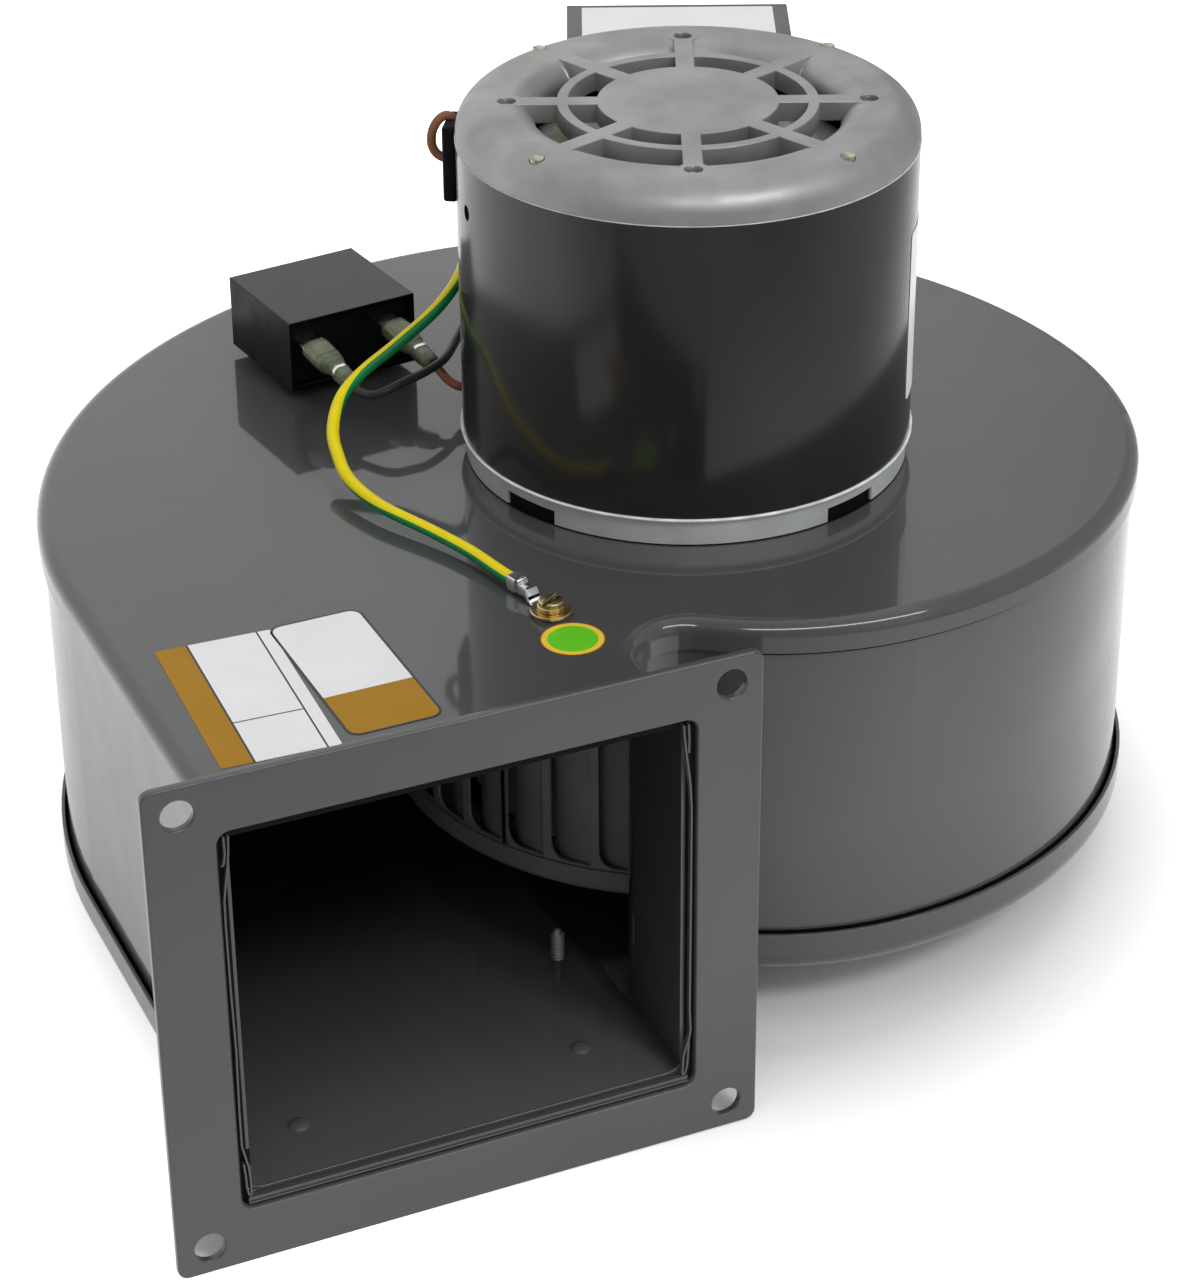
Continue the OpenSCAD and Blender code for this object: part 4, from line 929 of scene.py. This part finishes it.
def sticker(name, width, height, corner, cuts, finish_at, finishes, where, rim=0):
    """A blank sticker on the XY plane, with a dark rim if asked, moved to where it is stuck."""
    bm = bmesh.new()
    rounded_rectangle(bm, width, height, corner, 5)
    if rim:
        for face in bmesh.ops.inset_region(bm, faces=bm.faces[:], thickness=rim, use_boundary=True)["faces"]:
            face.material_index = 2
    for axis, at in cuts:
        across = Vector((axis == "x", axis == "y", 0))
        bmesh.ops.bisect_plane(bm, geom=everything(bm), plane_co=across * at, plane_no=across)
    for face in bm.faces:
        face.material_index = face.material_index or finish_at(face.calc_center_median())
    thicken(bm, FILM_THICK)
    place(bm, where)
    piece(name, bm, finishes)


# %% Stickers on the deck
AMBER_END, WHITE_START, LINE_LEFT, LINE_RIGHT = -7.2, -6.6, 11.6, 12.1
LINE_LOW, LINE_HIGH = -11.2, -10.7


def left_fields(spot):
    """Amber on the left, white on the right, dark lines between."""
    if spot.x < AMBER_END:
        return 1
    if spot.x < WHITE_START or LINE_LEFT < spot.x < LINE_RIGHT:
        return 2
    return 2 if LINE_LOW < spot.y < LINE_HIGH and spot.x < LINE_LEFT else 0


cuts = [("x", at) for at in (AMBER_END, WHITE_START, LINE_LEFT, LINE_RIGHT)] + [("y", LINE_LOW), ("y", LINE_HIGH)]
sticker("deck_sticker_left", 31, 61, 0.6, cuts, left_fields, [film_white, film_amber, film_dark],
        shift(-161.4, -82.3, DECK) @ turn(-2.6))
sticker("deck_sticker_right", 25.6, 59.8, 3.6, [("y", -9.5)], lambda spot: int(spot.y < -9.5),
        [film_white, film_amber, film_dark], shift(-132.0, -81.4, DECK) @ turn(0.8), rim=0.7)

bm = bmesh.new()
bmesh.ops.create_circle(bm, cap_ends=True, segments=72, radius=8.5)
middle = bm.faces[:]
for width, ring_finish in ((0.35, 2), (1.5, 1)):
    for face in bmesh.ops.inset_region(bm, faces=middle, thickness=width, use_boundary=True)["faces"]:
        face.material_index = ring_finish
thicken(bm, FILM_THICK)
place(bm, shift(-75, -90, DECK))
piece("ground_dot", bm, [film_green, film_yellow, film_orange])

# %% Stickers on the motor and the junction box
sticker("box_sticker", 57, 37, 0.8, [], lambda spot: 0, [film_white],
        turn(MOTOR_CLOCK + 90) @ shift(89.0, 0, DECK + 91) @ turn(90))

LABEL_R, LABEL_LOW, LABEL_HIGH, LABEL_START, LABEL_SPAN = 63.56, 22, 72, -42, 74
bm = bmesh.new()
ends = [bm.verts.new((LABEL_R, 0, DECK + z)) for z in (LABEL_LOW, LABEL_HIGH)]
strip = [bm.edges.new(ends)]
bmesh.ops.spin(bm, geom=ends + strip, cent=(0, 0, 0), axis=(0, 0, 1), angle=math.radians(LABEL_SPAN), steps=40)
corners = [v for v in bm.verts if len(v.link_edges) == 2]
bevel(bm, corners, 1.5, 4, "VERTICES")
face_outwards(bm)
bmesh.ops.solidify(bm, geom=bm.faces[:], thickness=-0.1)
face_outwards(bm)
place(bm, turn(LABEL_START))
piece("shell_sticker", bm, [film_white])

# %% [markdown]
# ## Floor, light and background
#
# The picture was taken on white. The flange hangs lower than the housing's floor, so the blower leans on its
# foot and on the back of the floor panel, and the disc below it is turned by that lean. The disc carries the
# soft shadow. A glow of its own, which only the camera and reflections see and which fades out under the
# object, lifts its lit part to white without adding light to the object. The world is plain white to the
# camera. In reflections it is white too, but falls off towards the camera's side, as in a studio whose front
# is not lit. It lights the object a little less on its left, which leaves room for one lamp from the right. A
# second, wide lamp is only seen in reflections: it draws the thin bright lines on edges and rims.

# %% Rays that see the background
def seen_rays(tree):
    """1 for a look from the camera, in a reflection or through glass, otherwise 0."""
    path = add_node(tree, "LightPath").outputs
    total = path["Is Camera Ray"]
    for kind in ("Is Glossy Ray", "Is Transmission Ray"):
        total = add_node(tree, "Math", total, path[kind], operation="MAXIMUM").outputs[0]
    return total


def along(tree, way):
    """How far a place or a direction reaches along a way."""
    coords = add_node(tree, "TexCoord").outputs["Generated" if tree == world.node_tree else "Object"]
    return add_node(tree, "VectorMath", coords, way, operation="DOT_PRODUCT").outputs["Value"]


def product(tree, *values):
    """Multiplies sockets."""
    total = values[0]
    for value in values[1:]:
        total = add_node(tree, "Math", total, value, operation="MULTIPLY").outputs[0]
    return total


def between(tree, value, *ends):
    """1 within a span that fades in from the first end to the second and out from the third to the fourth."""
    return product(tree, ranged(tree, value, *ends[:2], 0, 1), ranged(tree, value, *ends[2:], 1, 0))


TO_CAMERA, TO_RIGHT = (-0.407, -0.914, 0), (0.914, -0.407, 0)

# %% World
world = bpy.data.worlds.new("studio")
bpy.context.scene.world = world
world.use_nodes = True
tree = world.node_tree
mirrored = product(
    tree,
    ranged(tree, along(tree, Vector((-0.42, -0.72, 0.55)).normalized()), 0.35, 0.9, 1.0, 0.4),
    ranged(tree, along(tree, TO_CAMERA), 0.72, 0.92, 1.0, 0.5),
    ranged(tree, along(tree, (1, 0, 0)), 0.4, 0.54, 0.94, 0.4))
from_camera = add_node(tree, "LightPath").outputs["Is Camera Ray"]
lighting = ranged(tree, along(tree, (0.81, -0.5, 0.3)), -0.8, 0.9, 0.35, 1.1)
level = ranged(tree, seen_rays(tree), 0, 1, lighting, ranged(tree, from_camera, 0, 1, mirrored, 1.0))
tree.links.new(level, tree.nodes["Background"].inputs["Strength"])
tree.nodes["Background"].inputs["Color"].default_value = (1, 1, 1, 1)
print("world:", world.name)

# %% [markdown]
# ## Shade inside the duct
#
# Little light finds its way into the duct, so its paint carries painted shade: within a box that ends between the
# inner and outer faces of the duct's sheets, the housing's paint darkens inwards and towards the right wall, and near
# the mouth it is painted a little lighter. A second, flat box does the same for the floor by the tongue.

# %% Duct shade
tree = housing_paint.node_tree
across, inwards, upwards = (along(tree, way) for way in ((1, 0, 0), (0, 1, 0), (0, 0, 1)))
in_duct = product(tree, between(tree, across, -0.184, -0.1838, -0.065, -0.0648),
                  ranged(tree, along(tree, (1, -0.302, 0)), -0.148, -0.146, 0, 1),
                  between(tree, inwards, -0.1355, -0.135, 0.058, 0.06),
                  between(tree, upwards, -0.0036, -0.0034, 0.1044, 0.1046))
by_tongue = product(tree, between(tree, across, -0.0652, -0.065, -0.02, -0.018),
                    between(tree, inwards, -0.085, -0.08, 0.058, 0.06),
                    between(tree, upwards, -0.0036, -0.0034, -0.001, -0.0008))
outside = product(tree, ranged(tree, in_duct, 0, 1, 1, 0), ranged(tree, by_tongue, 0, 1, 1, 0))
# Painted light and shade: lighter than the paint near the mouth, darker deeper in and on the right wall.
dim = product(tree, ranged(tree, inwards, -0.12, -0.02, 1.35, 0.25), ranged(tree, across, -0.07, -0.066, 1.0, 0.4))
paint = tree.nodes["Principled BSDF"].inputs["Base Color"]
shaded_paint = add_node(tree, "VectorMath", paint.links[0].from_socket, operation="SCALE",
                   Scale=ranged(tree, outside, 0, 1, dim, 1.0))
tree.links.new(shaded_paint.outputs["Vector"], paint)
print("the duct's paint has", len(tree.nodes), "nodes")

# %% Floor
floor_low = cad_box[0][2] - 0.0002
foot = FLANGE_FRONT * MM
lean = min(math.atan2(v.co.z - floor_low, v.co.y - foot) for v in nodes["floor_panel"].data.vertices if v.co.y > 0)
bm = bmesh.new()
bmesh.ops.create_circle(bm, cap_ends=True, segments=96, radius=6.0)
place(bm, shift(0, foot, floor_low), turn(math.degrees(lean), "X"))
floor_mesh = bpy.data.meshes.new("floor")
bm.to_mesh(floor_mesh)
bm.free()
floor = bpy.data.objects.new("floor", floor_mesh)
bpy.context.collection.objects.link(floor)
floor_white = new_finish("floor_white", (0.86, 0.86, 0.86), 0.5, Emission_Color=(1, 1, 1, 1))
add_gloss_range(floor_white, 3, 0.45, 0.55)
tree = floor_white.node_tree
in_mirror = add_node(tree, "LightPath").outputs["Is Glossy Ray"]
unlit = product(tree, ranged(tree, along(tree, TO_CAMERA), 0.2, 0.5, 1.0, 0.3),
                ranged(tree, along(tree, TO_RIGHT), 0.22, 0.45, 1.0, 0.4))
shade = ranged(tree, in_mirror, 0, 1, 0.86, ranged(tree, unlit, 0, 1, 0.0, 0.86))
spot = add_node(tree, "TexCoord").outputs["Object"]
outwards = add_node(tree, "VectorMath", spot, operation="LENGTH").outputs["Value"]
aside, inwards = along(tree, (1, -0.445, 0)), along(tree, (0, 1, 0))
behind_flange = product(tree, between(tree, aside, -0.1445, -0.1425, 0.0145, 0.0165),
                        between(tree, inwards, -0.138, -0.134, -0.118, -0.112))
glow = product(tree, seen_rays(tree), ranged(tree, outwards, 0.12, 0.22, 0.0, 1.0),
               ranged(tree, behind_flange, 0, 1, 1.0, 0.0),
               ranged(tree, in_mirror, 0, 1, 1.0, ranged(tree, unlit, 0, 1, 0.0, 0.4)))
tree.links.new(shade, tree.nodes["Principled BSDF"].inputs["Base Color"])
tree.links.new(glow, tree.nodes["Principled BSDF"].inputs["Emission Strength"])
floor_mesh.materials.append(floor_white)
print("floor at", round(floor_low, 4), "leaning", round(math.degrees(lean), 2), "degrees")


# %% Lamps
def soft_lamp(name, place_at, aim, size, watts, lights=True):
    """An area lamp that looks at a point, and either lights or is only seen in reflections."""
    lamp = bpy.data.lights.new(name, "AREA")
    lamp.shape = "RECTANGLE"
    lamp.size, lamp.size_y = size
    lamp.energy = watts
    holder = bpy.data.objects.new(name, lamp)
    bpy.context.collection.objects.link(holder)
    holder.location = place_at
    holder.rotation_euler = (Vector(aim) - Vector(place_at)).to_track_quat("-Z", "Y").to_euler()
    holder.visible_diffuse = lights
    holder.visible_glossy = not lights


soft_lamp("key", (0.4, -1.456, 1.559), (0, 0, 0.1), (0.4, 0.4), 10)
soft_lamp("strip", (0.03, -1.59, 1.565), (-0.1, -0.1, 0.05), (2.2, 0.3), 21, lights=False)
print("lamps:", *(lamp.name for lamp in bpy.data.lights))

# %% [markdown]
# ## The end
#
# The picture is shown through Blender's Standard view transform. The dressed model has to stay in
# the CAD model's box.

# %% Finish
bpy.context.scene.view_settings.view_transform = "Standard"
